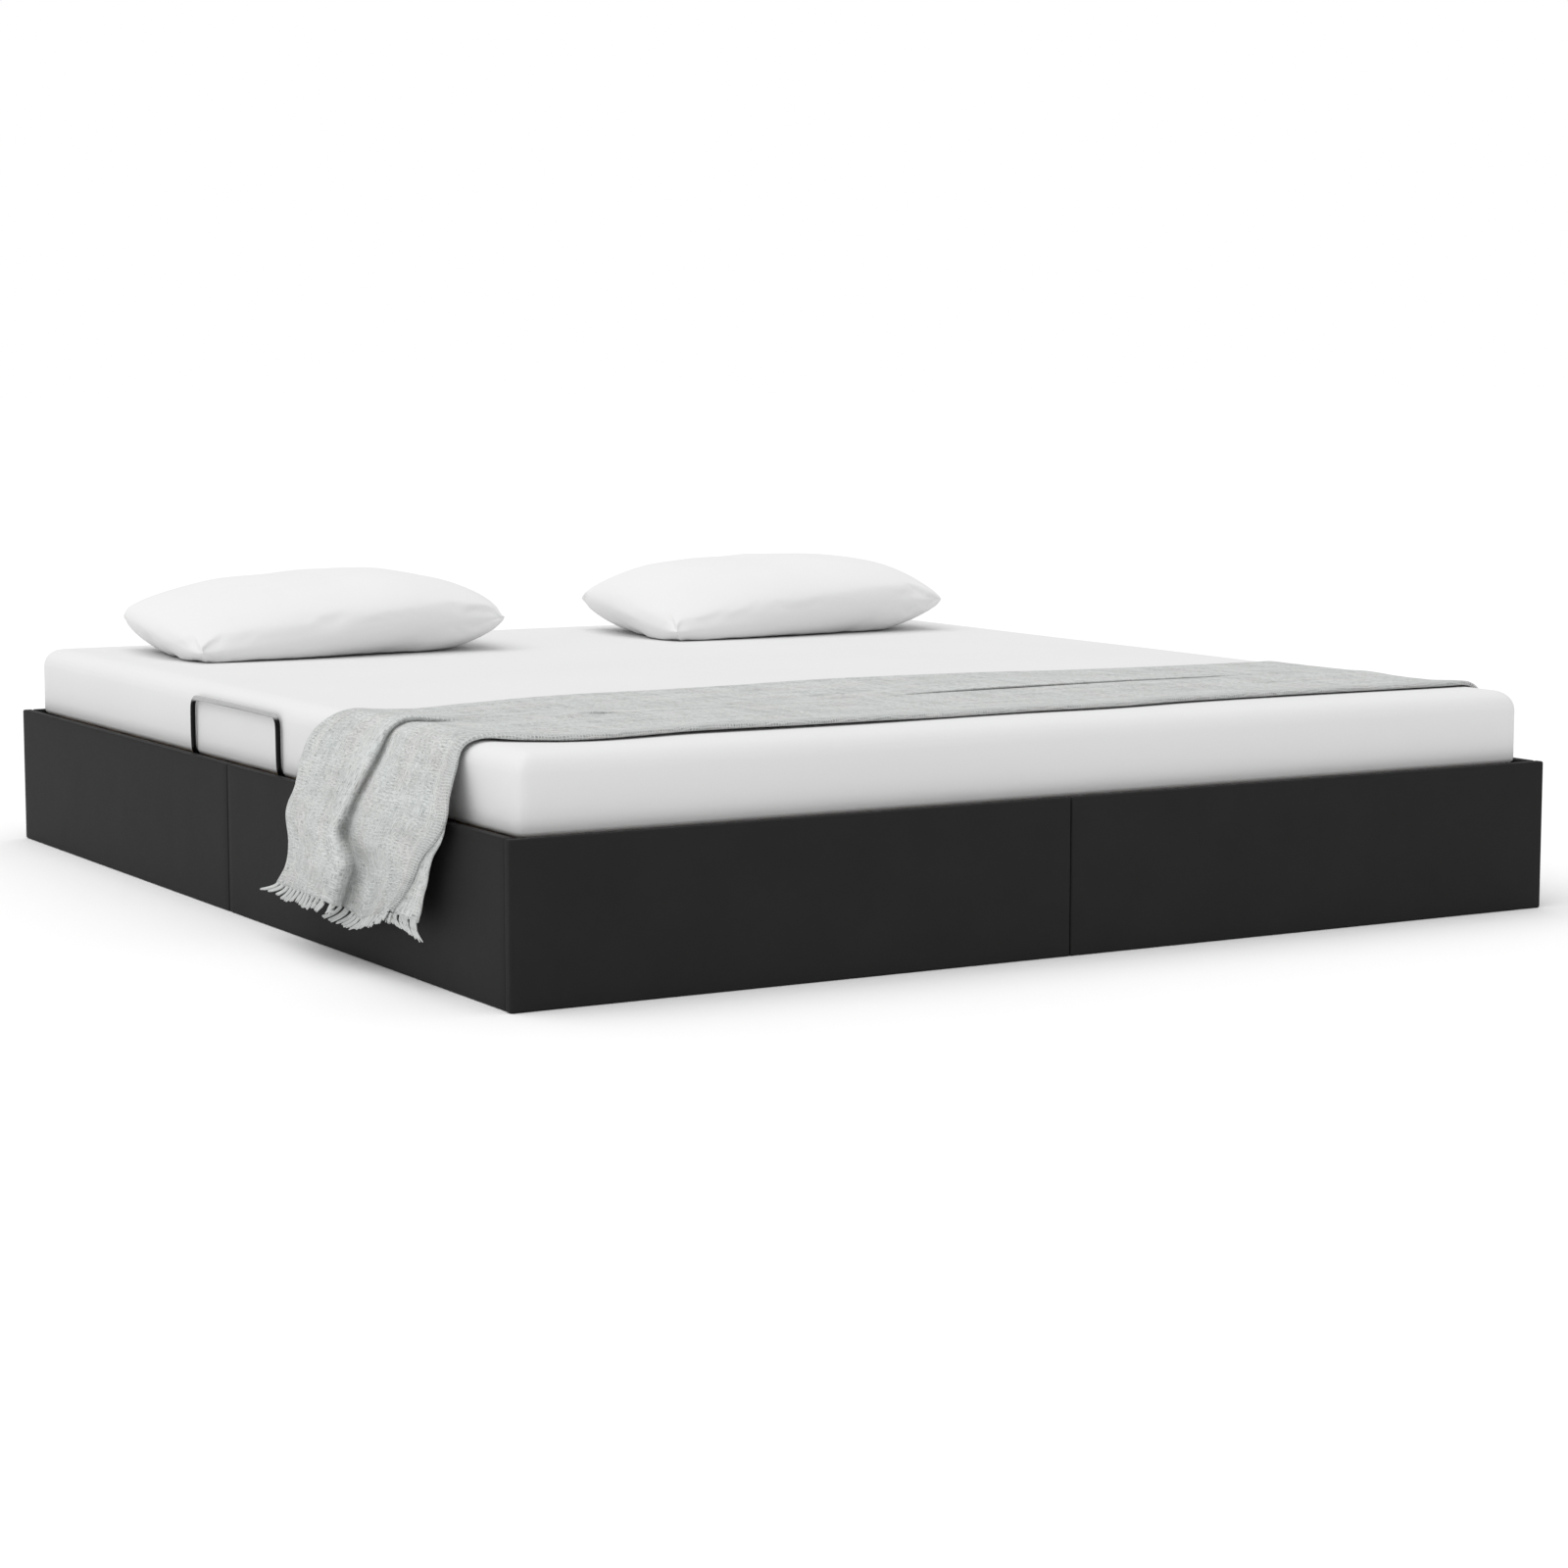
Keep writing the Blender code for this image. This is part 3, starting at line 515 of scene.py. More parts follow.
def dress_cad_nodes(materials):
    """Better materials on the CAD pieces that stay as they are."""
    rules = (
        ("bottom_board", "board"), ("divider", "board"), ("centre_post", "pine_z"),
        ("cleat_left", "pine_y"), ("cleat", "pine_x"), ("floor_batten", "pine_x"), ("foot_joiner", "pine_x"),
        ("head_joiner", "pine_x"), ("side_joiner", "pine_y"), ("corner_bracket", "zinc_z"),
        ("hinge", "zinc_y"), ("strut_anchor", "zinc_z"), ("strut_bracket", "zinc_z"),
        ("strut_cylinder", "strut_paint"), ("strut_rod", "chrome"), ("rest_strip", "rubber"),
        ("rail", "frame_paint"), ("slats", "beech"), ("mattress_retainer", "gloss_paint"),
    )
    for name, item in NODES.items():
        for start, key in rules:
            if name.startswith(start):
                item.data.materials.clear()
                item.data.materials.append(materials[key])
                break
        if name.startswith("mattress_retainer"):
            round_rod(item)


# ---------------------------- mattress
MATTRESS_SINK = 1.2 * MM  # cover inside the CAD faces, room for its unevenness
MATTRESS_ROUND = 32 * MM
MATTRESS_ROUND_BELOW = 14 * MM
MATTRESS_STEP = 20 * MM
PILLOW_DENT = 2.6 * MM


def pillow_dent(x, y):
    """How far the mattress gives way under the pillows."""
    depth = 0.0
    for low, high in PILLOW_BOXES.values():
        u = (2 * x - low.x - high.x) / (high.x - low.x)
        v = (2 * y - low.y - high.y) / (high.y - low.y)
        depth += PILLOW_DENT * math.exp(-(u * u * 1.6 + v * v * 1.9) ** 1.5)
    return depth


def make_mattress(material):
    """Foam block in a plain knitted cover: round edges, sides that give a little, softly uneven top."""
    low = MATTRESS_LOW + Vector((MATTRESS_SINK,) * 3)
    high = MATTRESS_HIGH - Vector((MATTRESS_SINK, MATTRESS_SINK, MATTRESS_SINK / 2))
    bm = rounded_block(low, high, MATTRESS_ROUND, MATTRESS_STEP, bottom=MATTRESS_ROUND_BELOW, corner=4.5)
    bm.normal_update()
    for vert in bm.verts:
        x, y, z = vert.co
        top = max(0.0, vert.normal.z)
        side = 1 - abs(vert.normal.z)
        uneven = soft_noise(vert.co, 3.1, 1) * 0.9 + soft_noise(vert.co, 9.0, 2) * 0.25
        vert.co -= vert.normal * MM * (0.8 + uneven) * (0.55 * top + 0.5 * side)
        vert.co.z -= top * pillow_dent(x, y)
    piece = add_piece("mattress_cover", bm, material, "platform")
    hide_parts("mattress")
    return piece


# ---------------------------- pillows
PILLOW_SEAM = 0.44  # height of the seam as a share of the pillow's height
PILLOW_SINK = 0.30  # part of the underside pressed flat
PILLOW_BOW = 0.15  # how far the edges bow in towards the corners
PILLOW_CELLS = (72, 52)
PILLOW_MARGIN = (40 * MM, 26 * MM, 4 * MM)  # by which a case is smaller than its CAD box
CORNER_DROOP = 0.72  # how far the corner nearest the foot sinks to the mattress
DROOP_REACH = 0.95  # and how much of the case goes with it
GIVE = 6 * MM  # furthest a case may move while it is inflated
SIM_FRAMES = 16
CLOTH = {
    "quality": 6, "mass": 0.3, "use_pressure": True, "uniform_pressure_force": 1.6,
    "shrink_min": -0.02, "tension_stiffness": 18.0, "compression_stiffness": 18.0,
    "shear_stiffness": 7.2, "bending_stiffness": 0.6,
}


def pillow_height(u, v, side, height, x, y, seed):
    """Height of a case above its seam, at a place from -1 to 1 both ways; side is 1 on top."""
    full = max(0.0, (1 - abs(u) ** 2.6) * (1 - abs(v) ** 2.6))
    if side > 0:
        z = height * (1 - PILLOW_SEAM) * full ** 0.55
    else:
        z = -height * PILLOW_SEAM * min(1.0, full ** 0.50 * (1 + PILLOW_SINK))
    z *= 1 + 0.10 * soft_noise((x, y, side), 4.5, seed)
    dimples = soft_noise((x, y, side), 11.0, seed) * 4 + soft_noise((x, y, side), 27.0, seed)
    z += full * dimples * MM
    droop = math.exp(-((1 + u) ** 2 + (1 + v) ** 2) / DROOP_REACH ** 2)
    z -= CORNER_DROOP * height * PILLOW_SEAM * droop
    return max(z, -height * PILLOW_SEAM)


def pillow_case(size, seed):
    """A filled case: blunt corners, full edges, and an underside pressed flat by the mattress."""
    half_x, half_y, height = size[0] / 2, size[1] / 2, size[2]
    columns, rows = PILLOW_CELLS
    bm = bmesh.new()
    layers = []
    for side in (1, -1):
        grid = []
        for i in range(columns + 1):
            line = []
            for j in range(rows + 1):
                if side < 0 and (i in (0, columns) or j in (0, rows)):
                    line.append(layers[0][i][j])
                    continue
                u, v = (math.sin(math.pi / 2 * (2 * k / n - 1)) for k, n in ((i, columns), (j, rows)))
                x = half_x * u * math.sqrt(1 - PILLOW_BOW * v * v)
                y = half_y * v * math.sqrt(1 - PILLOW_BOW * u * u)
                line.append(bm.verts.new((x, y, pillow_height(u, v, side, height, x, y, seed))))
            grid.append(line)
        layers.append(grid)
        for i in range(columns):
            for j in range(rows):
                loop = (grid[i][j], grid[i + 1][j], grid[i + 1][j + 1], grid[i][j + 1])
                bm.faces.new(loop if side > 0 else loop[::-1])
    return bm


def vertex_places(item):
    return np.array([vert.co for vert in item.data.vertices], float)


def inflated(item):
    """Vertex places after the cloth solver has inflated a case cut a little looser than its shape."""
    before = vertex_places(item)
    cloth = item.modifiers.new("cloth", "CLOTH")
    for name, value in CLOTH.items():
        setattr(cloth.settings, name, value)
    cloth.settings.effector_weights.gravity = 0.0
    cloth.collision_settings.use_collision = False
    cloth.collision_settings.use_self_collision = False
    cloth.point_cache.frame_start = 1
    cloth.point_cache.frame_end = SIM_FRAMES
    scene = bpy.context.scene
    for number in range(1, SIM_FRAMES + 1):
        scene.frame_set(number)
    apply_modifiers(item)
    scene.frame_set(1)
    moved = vertex_places(item) - before
    length = np.linalg.norm(moved, axis=1, keepdims=True)
    return before + moved * np.minimum(1.0, GIVE / np.maximum(length, 1e-9))


def make_pillow(node, material, seed):
    """A cotton pillow, inflated by the cloth solver and pressed onto the mattress."""
    low, high = PILLOW_BOXES[node]
    size = [high[k] - low[k] - PILLOW_MARGIN[k] for k in range(3)]
    case = add_piece(f"{node}_case", pillow_case(size, seed), material, None)
    points = inflated(case)
    mesh = case.data
    bottom = -size[2] * PILLOW_SEAM
    points[:, 2] = np.maximum(points[:, 2], bottom)
    points[:, 2] *= size[2] / (points[:, 2].max() - bottom)
    points += np.array(((low.x + high.x) / 2, (low.y + high.y) / 2, 0.0))
    points[:, 2] += low.z + 0.2 * MM - points[:, 2].min()
    mesh.vertices.foreach_set("co", points.ravel())
    mesh.update()
    smooth = case.modifiers.new("smooth", "SUBSURF")
    smooth.levels = smooth.render_levels = 1
    apply_modifiers(case)
    case.data.shade_smooth()
    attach(case, "platform")
    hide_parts(node)


# ---------------------------- throw
WEAVE_PITCH = 5.4 * MM
BAND_PITCH = 4.2 * MM
BAND_REACH = 30 * MM  # half the width of the coarser band
FACE_WIDTH = 0.575  # from the far edge to the fold along the near edge
CLOTH_THICK = 2.0 * MM
CLOTH_STEP = 5.0 * MM
FLAP = 0.070  # width turned under along the near edge
TURN_RADIUS = 2.6 * MM  # of the fold along the near edge
FACE_COLUMNS, TURN_COLUMNS, FLAP_COLUMNS = 118, 6, 14
FOLD_AT = 0.47  # the pleat's share of the way across the face
FOLD_SPREAD = 0.027
SIDE_SLANT = 1.9  # shift towards the foot per shift away from the bed, set for the camera's side
CLOTH_LIFT = 2.0 * MM  # middle of the cloth above the mattress
MATTRESS_EDGE = 38 * MM  # radius of the mattress's upper edges in the CAD
EDGE_X = -MATTRESS_LOW.x - MATTRESS_EDGE  # where the top of the mattress starts to round off
EDGE_RADIUS = MATTRESS_EDGE + CLOTH_LIFT
FAR_HEM_Z = 0.302
HEM_DIP = (0.003, 0.002, 0.008, -0.004, -0.012, 0.004, 0.018)  # of the hanging hem, across the face
HEM_DIP_AT = (0, 0.1, FOLD_AT - 0.05, FOLD_AT + 0.05, 0.65, 0.85, 1.0)


def curve_through(pairs):
    """A smooth function through (place, value) pairs, flat beyond the ends."""
    xs = np.array([p[0] for p in pairs], float)
    ys = np.array([p[1] for p in pairs], float)
    slopes = np.gradient(ys, xs)

    def at(x):
        x = np.clip(np.asarray(x, float), xs[0], xs[-1])
        k = np.clip(np.searchsorted(xs, x) - 1, 0, len(xs) - 2)
        span = xs[k + 1] - xs[k]
        t = (x - xs[k]) / span
        a, b = slopes[k] * span, slopes[k + 1] * span
        return ((2 * t**3 - 3 * t**2 + 1) * ys[k] + (t**3 - 2 * t**2 + t) * a
                + (3 * t**2 - 2 * t**3) * ys[k + 1] + (t**3 - t**2) * b)

    return at


def bell(value, centre, width):
    return np.exp(-((value - centre) / width) ** 2)


class ThrowPath:
    """Middle line of the throw in x and z, from the hem beside the bed to the hem past the far edge."""

    def __init__(self):
        level = MATTRESS_HIGH.z - MATTRESS_EDGE
        hanging = ((-0.0070, 0.085), (-0.0060, 0.120), (-0.0010, 0.170), (0.0045, 0.215),
                   (0.0110, 0.245), (0.0225, 0.275), (0.0385, 0.308))
        points = [(HANG_X + dx, z) for dx, z in hanging]
        for turn in np.radians(np.linspace(150, 90, 7)):
            points.append((-EDGE_X + EDGE_RADIUS * math.cos(turn), level + EDGE_RADIUS * math.sin(turn)))
        points += [(-EDGE_X + 2 * EDGE_X * k / 12, level + EDGE_RADIUS) for k in range(1, 12)]
        for turn in np.radians(np.linspace(90, 0, 8)):
            points.append((EDGE_X + EDGE_RADIUS * math.cos(turn), level + EDGE_RADIUS * math.sin(turn)))
        points.append((EDGE_X + EDGE_RADIUS, FAR_HEM_Z))
        self.x, self.z = np.array(points).T
        self.along = np.concatenate([[0], np.cumsum(np.hypot(np.diff(self.x), np.diff(self.z)))])
        self.length = self.along[-1]
        self.top = np.flatnonzero(np.abs(self.x) <= EDGE_X + 1e-6)
        self.rising = slice(0, self.top[0] + 1)

    def at(self, height):
        """Distance along the path to a height on the hanging part."""
        return float(np.interp(height, self.z[self.rising], self.along[self.rising]))

    def on_top(self, place):
        """Distance along the path to an x on the top."""
        return float(np.interp(place, self.x[self.top], self.along[self.top]))

    def curve(self, hanging, top, hem=None):
        """A smooth function of the distance, by value at heights where it hangs and at x on top."""
        pairs = [] if hem is None else [(0.0, hem)]
        pairs += [(self.at(height), value) for height, value in hanging]
        pairs += [(self.on_top(place), value) for place, value in top]
        return curve_through(pairs)


def throw_lines(path):
    """How the throw's far edge, pleat and near edge run: y by height where it hangs, by x on top."""
    far = path.curve(
        ((0.085, -0.262), (0.120, -0.300), (0.155, -0.302), (0.195, -0.280), (0.240, -0.300),
         (0.270, -0.292), (0.320, -0.300), (0.340, -0.335)),
        ((-0.80, -0.385), (-0.68, -0.352), (-0.55, -0.316), (-0.30, -0.305), (0.0, -0.288),
         (0.25, -0.318), (0.50, -0.370), (EDGE_X, -0.378)))
    pleat = path.curve(
        ((0.085, -0.520), (0.125, -0.550), (0.147, -0.560), (0.190, -0.502), (0.220, -0.512),
         (0.260, -0.535), (0.330, -0.556)),
        ((-0.80, -0.60), (-0.60, -0.62), (0.0, -0.60), (EDGE_X, -0.62)))
    near = path.curve(
        ((0.085, -0.682), (0.108, -0.712), (0.140, -0.738), (0.195, -0.776), (0.215, -0.805),
         (0.240, -0.824), (0.270, -0.812), (0.310, -0.798), (0.340, -0.800)),
        ((-0.845, -0.855), (-0.80, -0.888), (-0.55, -0.897), (-0.30, -0.905), (0.0, -0.898),
         (0.14, -0.904), (0.32, -0.887), (0.55, -0.890), (EDGE_X, -0.897)))
    return far, pleat, near


def pleated(path, B, T):
    """Place across the bed and height off the path of a cloth folded once over itself.

    The pleat changes side below the panel's edge, and it opens and closes again on top of the bed.
    """
    depth = path.curve(
        ((0.145, 0.130), (0.195, 0.060), (0.240, 0.056), (0.300, 0.060), (0.340, 0.052)),
        ((-0.825, 0.034), (-0.77, 0.0), (-0.14, 0.0), (0.06, 0.040), (0.35, 0.046), (0.62, 0.022),
         (0.84, 0.0)), hem=0.095)(B)
    height = path.curve(
        ((0.145, -0.016), (0.195, -0.007), (0.225, -0.0045), (0.300, -0.0045), (0.340, -0.0030)),
        ((-0.825, -0.0014), (-0.77, 0.0), (-0.14, 0.0), (0.06, -0.0022), (0.35, -0.0026),
         (0.62, -0.0016), (0.84, 0.0)), hem=-0.012)(B)
    far, pleat, near = (line(B) for line in throw_lines(path))
    s = (T - FOLD_AT) / FOLD_SPREAD
    before = far + (pleat - far) * T / FOLD_AT
    after = pleat + (near - pleat) * (T - FOLD_AT) / (1 - FOLD_AT)
    Y = np.where(T < FOLD_AT, before, after)
    Y += (near - far) * (-s * np.exp(-s * s / 2) * depth)
    upper = 0.5 + 0.5 * np.tanh(s * 1.6 * np.sign(height))
    away = 1 - 0.65 * smoothstep(np.abs(T - FOLD_AT), 0.06, 0.40)
    H = 2 * np.abs(height) * upper * away

    # the cloth's roll beside the pleat
    valley = path.curve(((0.095, 0.2), (0.150, 0.9), (0.300, 1.0), (0.340, 0.8)),
                        ((-0.83, 0.5), (-0.76, 0.0)))(B)
    profile = (3.0 * bell(T, FOLD_AT + 0.110, 0.060)
               + 5.0 * bell(T, FOLD_AT - 0.035, 0.035)
               - 3.0 * bell(T, FOLD_AT + 0.030, 0.030))
    H += profile * valley * MM
    H += 5.0 * MM * bell(T, FOLD_AT - 0.035, 0.030) * (1 - smoothstep(B, path.at(0.180), path.at(0.230)))
    return Y, H


def hanging_folds(path, B, T, hanging):
    """Loose folds that run along the hanging part, each given by place, drift, size and width."""
    H = np.zeros_like(B)
    for place, drift, size, width in ((0.16, 0.05, 4.0, 0.060), (0.33, -0.02, 3.0, 0.045),
                                      (0.62, 0.06, 6.0, 0.050), (0.78, -0.05, 5.0, 0.055),
                                      (0.90, -0.02, 3.0, 0.030)):
        centre = place + drift * np.sin(B * 9.0 + place * 20)
        swell = 0.7 + 0.3 * np.sin(B * 17 + place * 40)
        H += hanging * size * MM * bell(T, centre, width) * swell
    low_part = 1 - smoothstep(B, path.at(0.150), path.at(0.215))
    H += low_part * bell(T, FOLD_AT - 0.06, 0.05) * 1.3 * MM * np.sin(T * 330)
    return H


def folds_on_bed(path, B, T):
    """The long soft ridge and the slanting crease on top of the bed."""
    on_bed = smoothstep(B, path.at(0.345), path.on_top(-0.60))
    on_bed *= 1 - smoothstep(B, path.on_top(0.80), path.length)
    ridge = 0.52 + 0.05 * np.sin((B - path.length / 2) * 2.6)
    grown = smoothstep(B, path.on_top(-0.1), path.on_top(0.45))
    H = on_bed * 4.0 * MM * bell(T, ridge, 0.10) * grown
    middle = path.on_top(-0.63)
    crease = 0.55 - (B - middle) * 0.9
    fall = 1 - smoothstep(T, crease - 0.012, crease + 0.012)
    H += on_bed * 4.5 * MM * fall * bell(T, crease, 0.10) * bell(B, middle, 0.085)
    return H


def wrinkles(b, c):
    """Small unevenness of the flat cloth, in millimetres."""
    waves = np.zeros((len(b), len(c)))
    for i, down in enumerate(b):
        for j, across in enumerate(c):
            broad = noise.noise(Vector((down * 5.0, across * 9.0, 1.7)))
            fine = noise.noise(Vector((down * 14.0, across * 24.0, 5.1)))
            waves[i, j] = broad * 1.3 + fine * 0.5
    return waves


def turn_under(path, b, Y, H):
    """Places the fold along the near edge, and the flap beneath the face."""
    edge_h, edge_y = H[:, FACE_COLUMNS - 1:FACE_COLUMNS], Y[:, FACE_COLUMNS - 1:FACE_COLUMNS]
    rounding = slice(FACE_COLUMNS, FACE_COLUMNS + TURN_COLUMNS)
    angle = math.pi * np.arange(1, TURN_COLUMNS + 1) / TURN_COLUMNS
    H[:, rounding] = edge_h - TURN_RADIUS * (1 - np.cos(angle))[None, :]
    Y[:, rounding] = edge_y - TURN_RADIUS * np.sin(angle)[None, :]
    inner = slice(FACE_COLUMNS + TURN_COLUMNS, None)
    share = (np.arange(1, FLAP_COLUMNS + 1) / FLAP_COLUMNS)[None, :]
    reach = path.curve(((0.120, -0.058), (0.165, -0.040), (0.210, -0.020), (0.245, 0.004),
                        (0.290, 0.030), (0.340, 0.045)), ((-0.77, 0.052),), hem=-0.085)(b)[:, None]
    swing = np.clip(-reach, 0, None) * 0.75
    Y[:, inner] = edge_y + reach * share + swing * np.sin(math.pi * share) * (1 - share) * 1.6
    H[:, inner] = edge_h - 2 * TURN_RADIUS - 1.2 * MM * np.sin(math.pi * share) + 0.8 * MM * share


def stand_off(path, B, H):
    """x and z of cloth that stands H off the path."""
    X = np.interp(B, path.along, path.x)
    Z = np.interp(B, path.along, path.z)
    tangent = np.stack([np.gradient(X, axis=0), np.gradient(Z, axis=0)], -1)
    for _ in range(6):
        tangent[1:-1] = (tangent[:-2] + 2 * tangent[1:-1] + tangent[2:]) / 4
    tangent /= np.linalg.norm(tangent, axis=-1, keepdims=True)
    return X - tangent[..., 1] * H, Z + tangent[..., 0] * H


def throw_surface(path):
    """Points of the draped cloth, and the places of its rows and columns when it lies flat."""
    b = np.linspace(0.0, path.length, int(path.length / CLOTH_STEP))
    turned = FACE_WIDTH + math.pi * TURN_RADIUS
    c = np.concatenate([
        np.linspace(0, FACE_WIDTH, FACE_COLUMNS),
        FACE_WIDTH + math.pi * TURN_RADIUS * np.arange(1, TURN_COLUMNS + 1) / TURN_COLUMNS,
        turned + FLAP * np.arange(1, FLAP_COLUMNS + 1) / FLAP_COLUMNS,
    ])
    t = np.concatenate([np.linspace(0, 1, FACE_COLUMNS), np.ones(TURN_COLUMNS + FLAP_COLUMNS)])
    B, T = np.meshgrid(b, t, indexing="ij")
    hanging = 1 - smoothstep(B, path.at(0.300), path.on_top(-0.82))

    Y, H = pleated(path, B, T)
    H += hanging_folds(path, B, T, hanging)
    H += folds_on_bed(path, B, T)
    H += (wrinkles(b, c) + 1.1) * MM * (0.5 + 1.6 * hanging) + 5.0 * MM * hanging
    H += TURN_RADIUS * 2 * bell(T, 1.0, 0.10)
    H -= 2.4 * MM * bell(T, 0.0, 0.02)

    # cloth that stands further out is moved towards the foot: from the camera's side of the bed, the
    # hanging part's outline then stays where throw_lines puts it
    lean = hanging * ((1 - T) * H[:, :1] + T * H[:, FACE_COLUMNS - 1:FACE_COLUMNS])
    Y -= SIDE_SLANT * lean
    turn_under(path, b, Y, H)
    X, Z = stand_off(path, B, H)

    # the hem isn't level: it hangs lower in the middle of the near part
    dip = np.interp(t, HEM_DIP_AT, HEM_DIP)
    dip[FACE_COLUMNS:] = np.linspace(HEM_DIP[-1], 0.010, TURN_COLUMNS + FLAP_COLUMNS)
    Z += dip[None, :] * (1 - smoothstep(B, 0.0, 0.10))
    return np.stack([X, Y, Z], -1), b, c


def make_throw(material):
    """One strip of open weave: pleated where it hangs, and turned under along its near edge."""
    path = ThrowPath()
    points, b, c = throw_surface(path)
    bm = bmesh.new()
    layer = bm.loops.layers.uv.new("cloth")
    grid = [[bm.verts.new(place) for place in row] for row in points]
    corners = ((0, 0), (1, 0), (1, 1), (0, 1))
    for i in range(len(b) - 1):
        for j in range(len(c) - 1):
            made = bm.faces.new([grid[i + di][j + dj] for di, dj in corners])
            for loop, (di, dj) in zip(made.loops, corners):
                loop[layer].uv = (c[j + dj], b[i + di])
    throw = add_piece("throw_cloth", bm, material, None)
    thick = throw.modifiers.new("thickness", "SOLIDIFY")
    thick.thickness = CLOTH_THICK
    thick.offset = 0.0
    apply_modifiers(throw)
    throw.data.shade_smooth()
    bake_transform(throw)
    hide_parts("throw", "throw_end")
    hems = []
    for row, inner in ((0, 2), (-1, -3)):
        outward = points[row] - points[inner]
        hems.append((points[row], outward / np.linalg.norm(outward, axis=-1, keepdims=True), c))
    return throw, hems, (c[-1], path.length)


YARNS = 6  # in a bunch
YARN_RADIUS = 1.8 * MM
YARN_SIDES = 6
YARN_LAY = 4 * MM  # flat length that a piece of yarn stands for
YARN_POINTS = 8
BUNCH_WIDTH = 19.0 * MM
BUNCH_STEP = 20.5 * MM
FLAP_BUNCH_STEP = 12 * MM
FLARE = 0.16  # how far a bunch fans out, as a share of its width


def put_yarn(bm, layer, line):
    """A tapered tube of yarn along a line of points."""
    rings = []
    for i, point in enumerate(line):
        before, after = line[max(i - 1, 0)], line[min(i + 1, len(line) - 1)]
        tangent = (after - before).normalized()
        across = tangent.orthogonal().normalized()
        third = tangent.cross(across)
        size = YARN_RADIUS * (1 - 0.45 * (i / (len(line) - 1)) ** 3)
        angles = [2 * math.pi * k / YARN_SIDES for k in range(YARN_SIDES)]
        spokes = [across * math.cos(angle) + third * math.sin(angle) for angle in angles]
        rings.append([bm.verts.new(point + spoke * size) for spoke in spokes])
    for i in range(len(rings) - 1):
        for k in range(YARN_SIDES):
            n = (k + 1) % YARN_SIDES
            made = bm.faces.new((rings[i][k], rings[i][n], rings[i + 1][n], rings[i + 1][k]))
            for loop, (di, dk) in zip(made.loops, ((0, 0), (0, 1), (1, 1), (1, 0))):
                loop[layer].uv = ((k + dk) / YARN_SIDES, (i + di) * YARN_LAY)
    bm.faces.new(rings[0][::-1])
    bm.faces.new(rings[-1])


def make_fringe(name, hem, material, body, lean, length, rng):
    """Bunches of yarn along a hem. lean(share) gives how far a bunch tilts along y."""
    place, down, widths = hem
    bm = bmesh.new()
    layer = bm.loops.layers.uv.new("cloth")
    on_face = np.arange(0.0, FACE_WIDTH, BUNCH_STEP)
    on_flap = np.arange(FACE_WIDTH, widths[-1] - 10 * MM, FLAP_BUNCH_STEP)
    for first in np.append(on_face, on_flap):
        share = (first + BUNCH_WIDTH / 2) / widths[-1]
        tilt = lean(share) + rng.uniform(-0.12, 0.12)
        reach = length * rng.uniform(0.86, 1.12)
        for k in range(YARNS):
            start = first + (0.30 + 0.40 * k / (YARNS - 1)) * BUNCH_WIDTH
            base = Vector([np.interp(start, widths, place[:, n]) for n in range(3)])
            away = Vector([np.interp(start, widths, down[:, n]) for n in range(3)]).normalized()
            fan = k / (YARNS - 1) - 0.5
            end_reach = reach * rng.uniform(0.88, 1.06)
            wave = rng.uniform(0.4, 1.1) * MM
            phase = rng.uniform(0, 6.28)
            line = []
            for i in range(YARN_POINTS):
                q = i / (YARN_POINTS - 1)
                flare = fan * BUNCH_WIDTH * FLARE * q
                side = tilt * end_reach * q * q - flare + wave * math.cos(q * 6 + phase) * q
                sway = Vector((math.sin(q * 5 + phase) * wave * q - 3.5 * MM * q * q, side, 0.0))
                line.append(base + away * (end_reach * q - 2.5 * MM) + sway)
            put_yarn(bm, layer, line)
    return add_piece(name, bm, material, body)


def make_fringes(hems, material):
    rng = np.random.default_rng(11)

    def lean_left(share):
        """The far part sweeps towards the head, and the near part fans out both ways."""
        if share < 0.42:
            return 0.15 + 1.5 * math.exp(-share * 14)
        return 1.2 - 1.5 * smoothstep(share, 0.42, 0.80) - 1.1 * smoothstep(share, 0.86, 0.94)

    left = make_fringe("throw_fringe_left", hems[0], material, "throw_end", lean_left, 0.030, rng)
    right = make_fringe("throw_fringe_right", hems[1], material, "platform", lambda share: 0.1, 0.026, rng)
    return [left, right]


# ---------------------------- fixings
BRACKET_PLATE, LEAF_PLATE = 3.0 * MM, 2.0 * MM  # thicknesses
WOOD_SCREW = 3.6 * MM  # radii of the heads
ANCHOR_SCREW = 3.2 * MM
SMALL_SCREW = 2.6 * MM
HEAD_SIDES = 12
HEAD_PROFILE = ((1.0, 0.05), (0.92, 0.32), (0.62, 0.50))  # radius and height, as shares of the radius
RECESS_PROFILE = ((0.20, 0.52, 0.54), (0.14, 0.40, 0.24))  # narrow and wide radius, and height


def put_screw(bm, place, normal, radius):
    """Low domed head with a cross recess."""
    normal = Vector(normal).normalized()
    across = normal.orthogonal().normalized()
    third = normal.cross(across)
    loops = []
    for narrow, wide, height in [(r, r, h) for r, h in HEAD_PROFILE] + list(RECESS_PROFILE):
        loop = []
        for k in range(HEAD_SIDES):
            angle = 2 * math.pi * k / HEAD_SIDES
            reach = radius * (wide if k % 3 == 1 else narrow)
            spoke = across * math.cos(angle) + third * math.sin(angle)
            loop.append(bm.verts.new(Vector(place) + spoke * reach + normal * height * radius))
        loops.append(loop)
    for here, there in zip(loops, loops[1:]):
        for k in range(HEAD_SIDES):
            n = (k + 1) % HEAD_SIDES
            bm.faces.new((here[k], here[n], there[n], there[k]))
    bm.faces.new(loops[0][::-1])
    bm.faces.new(loops[-1])


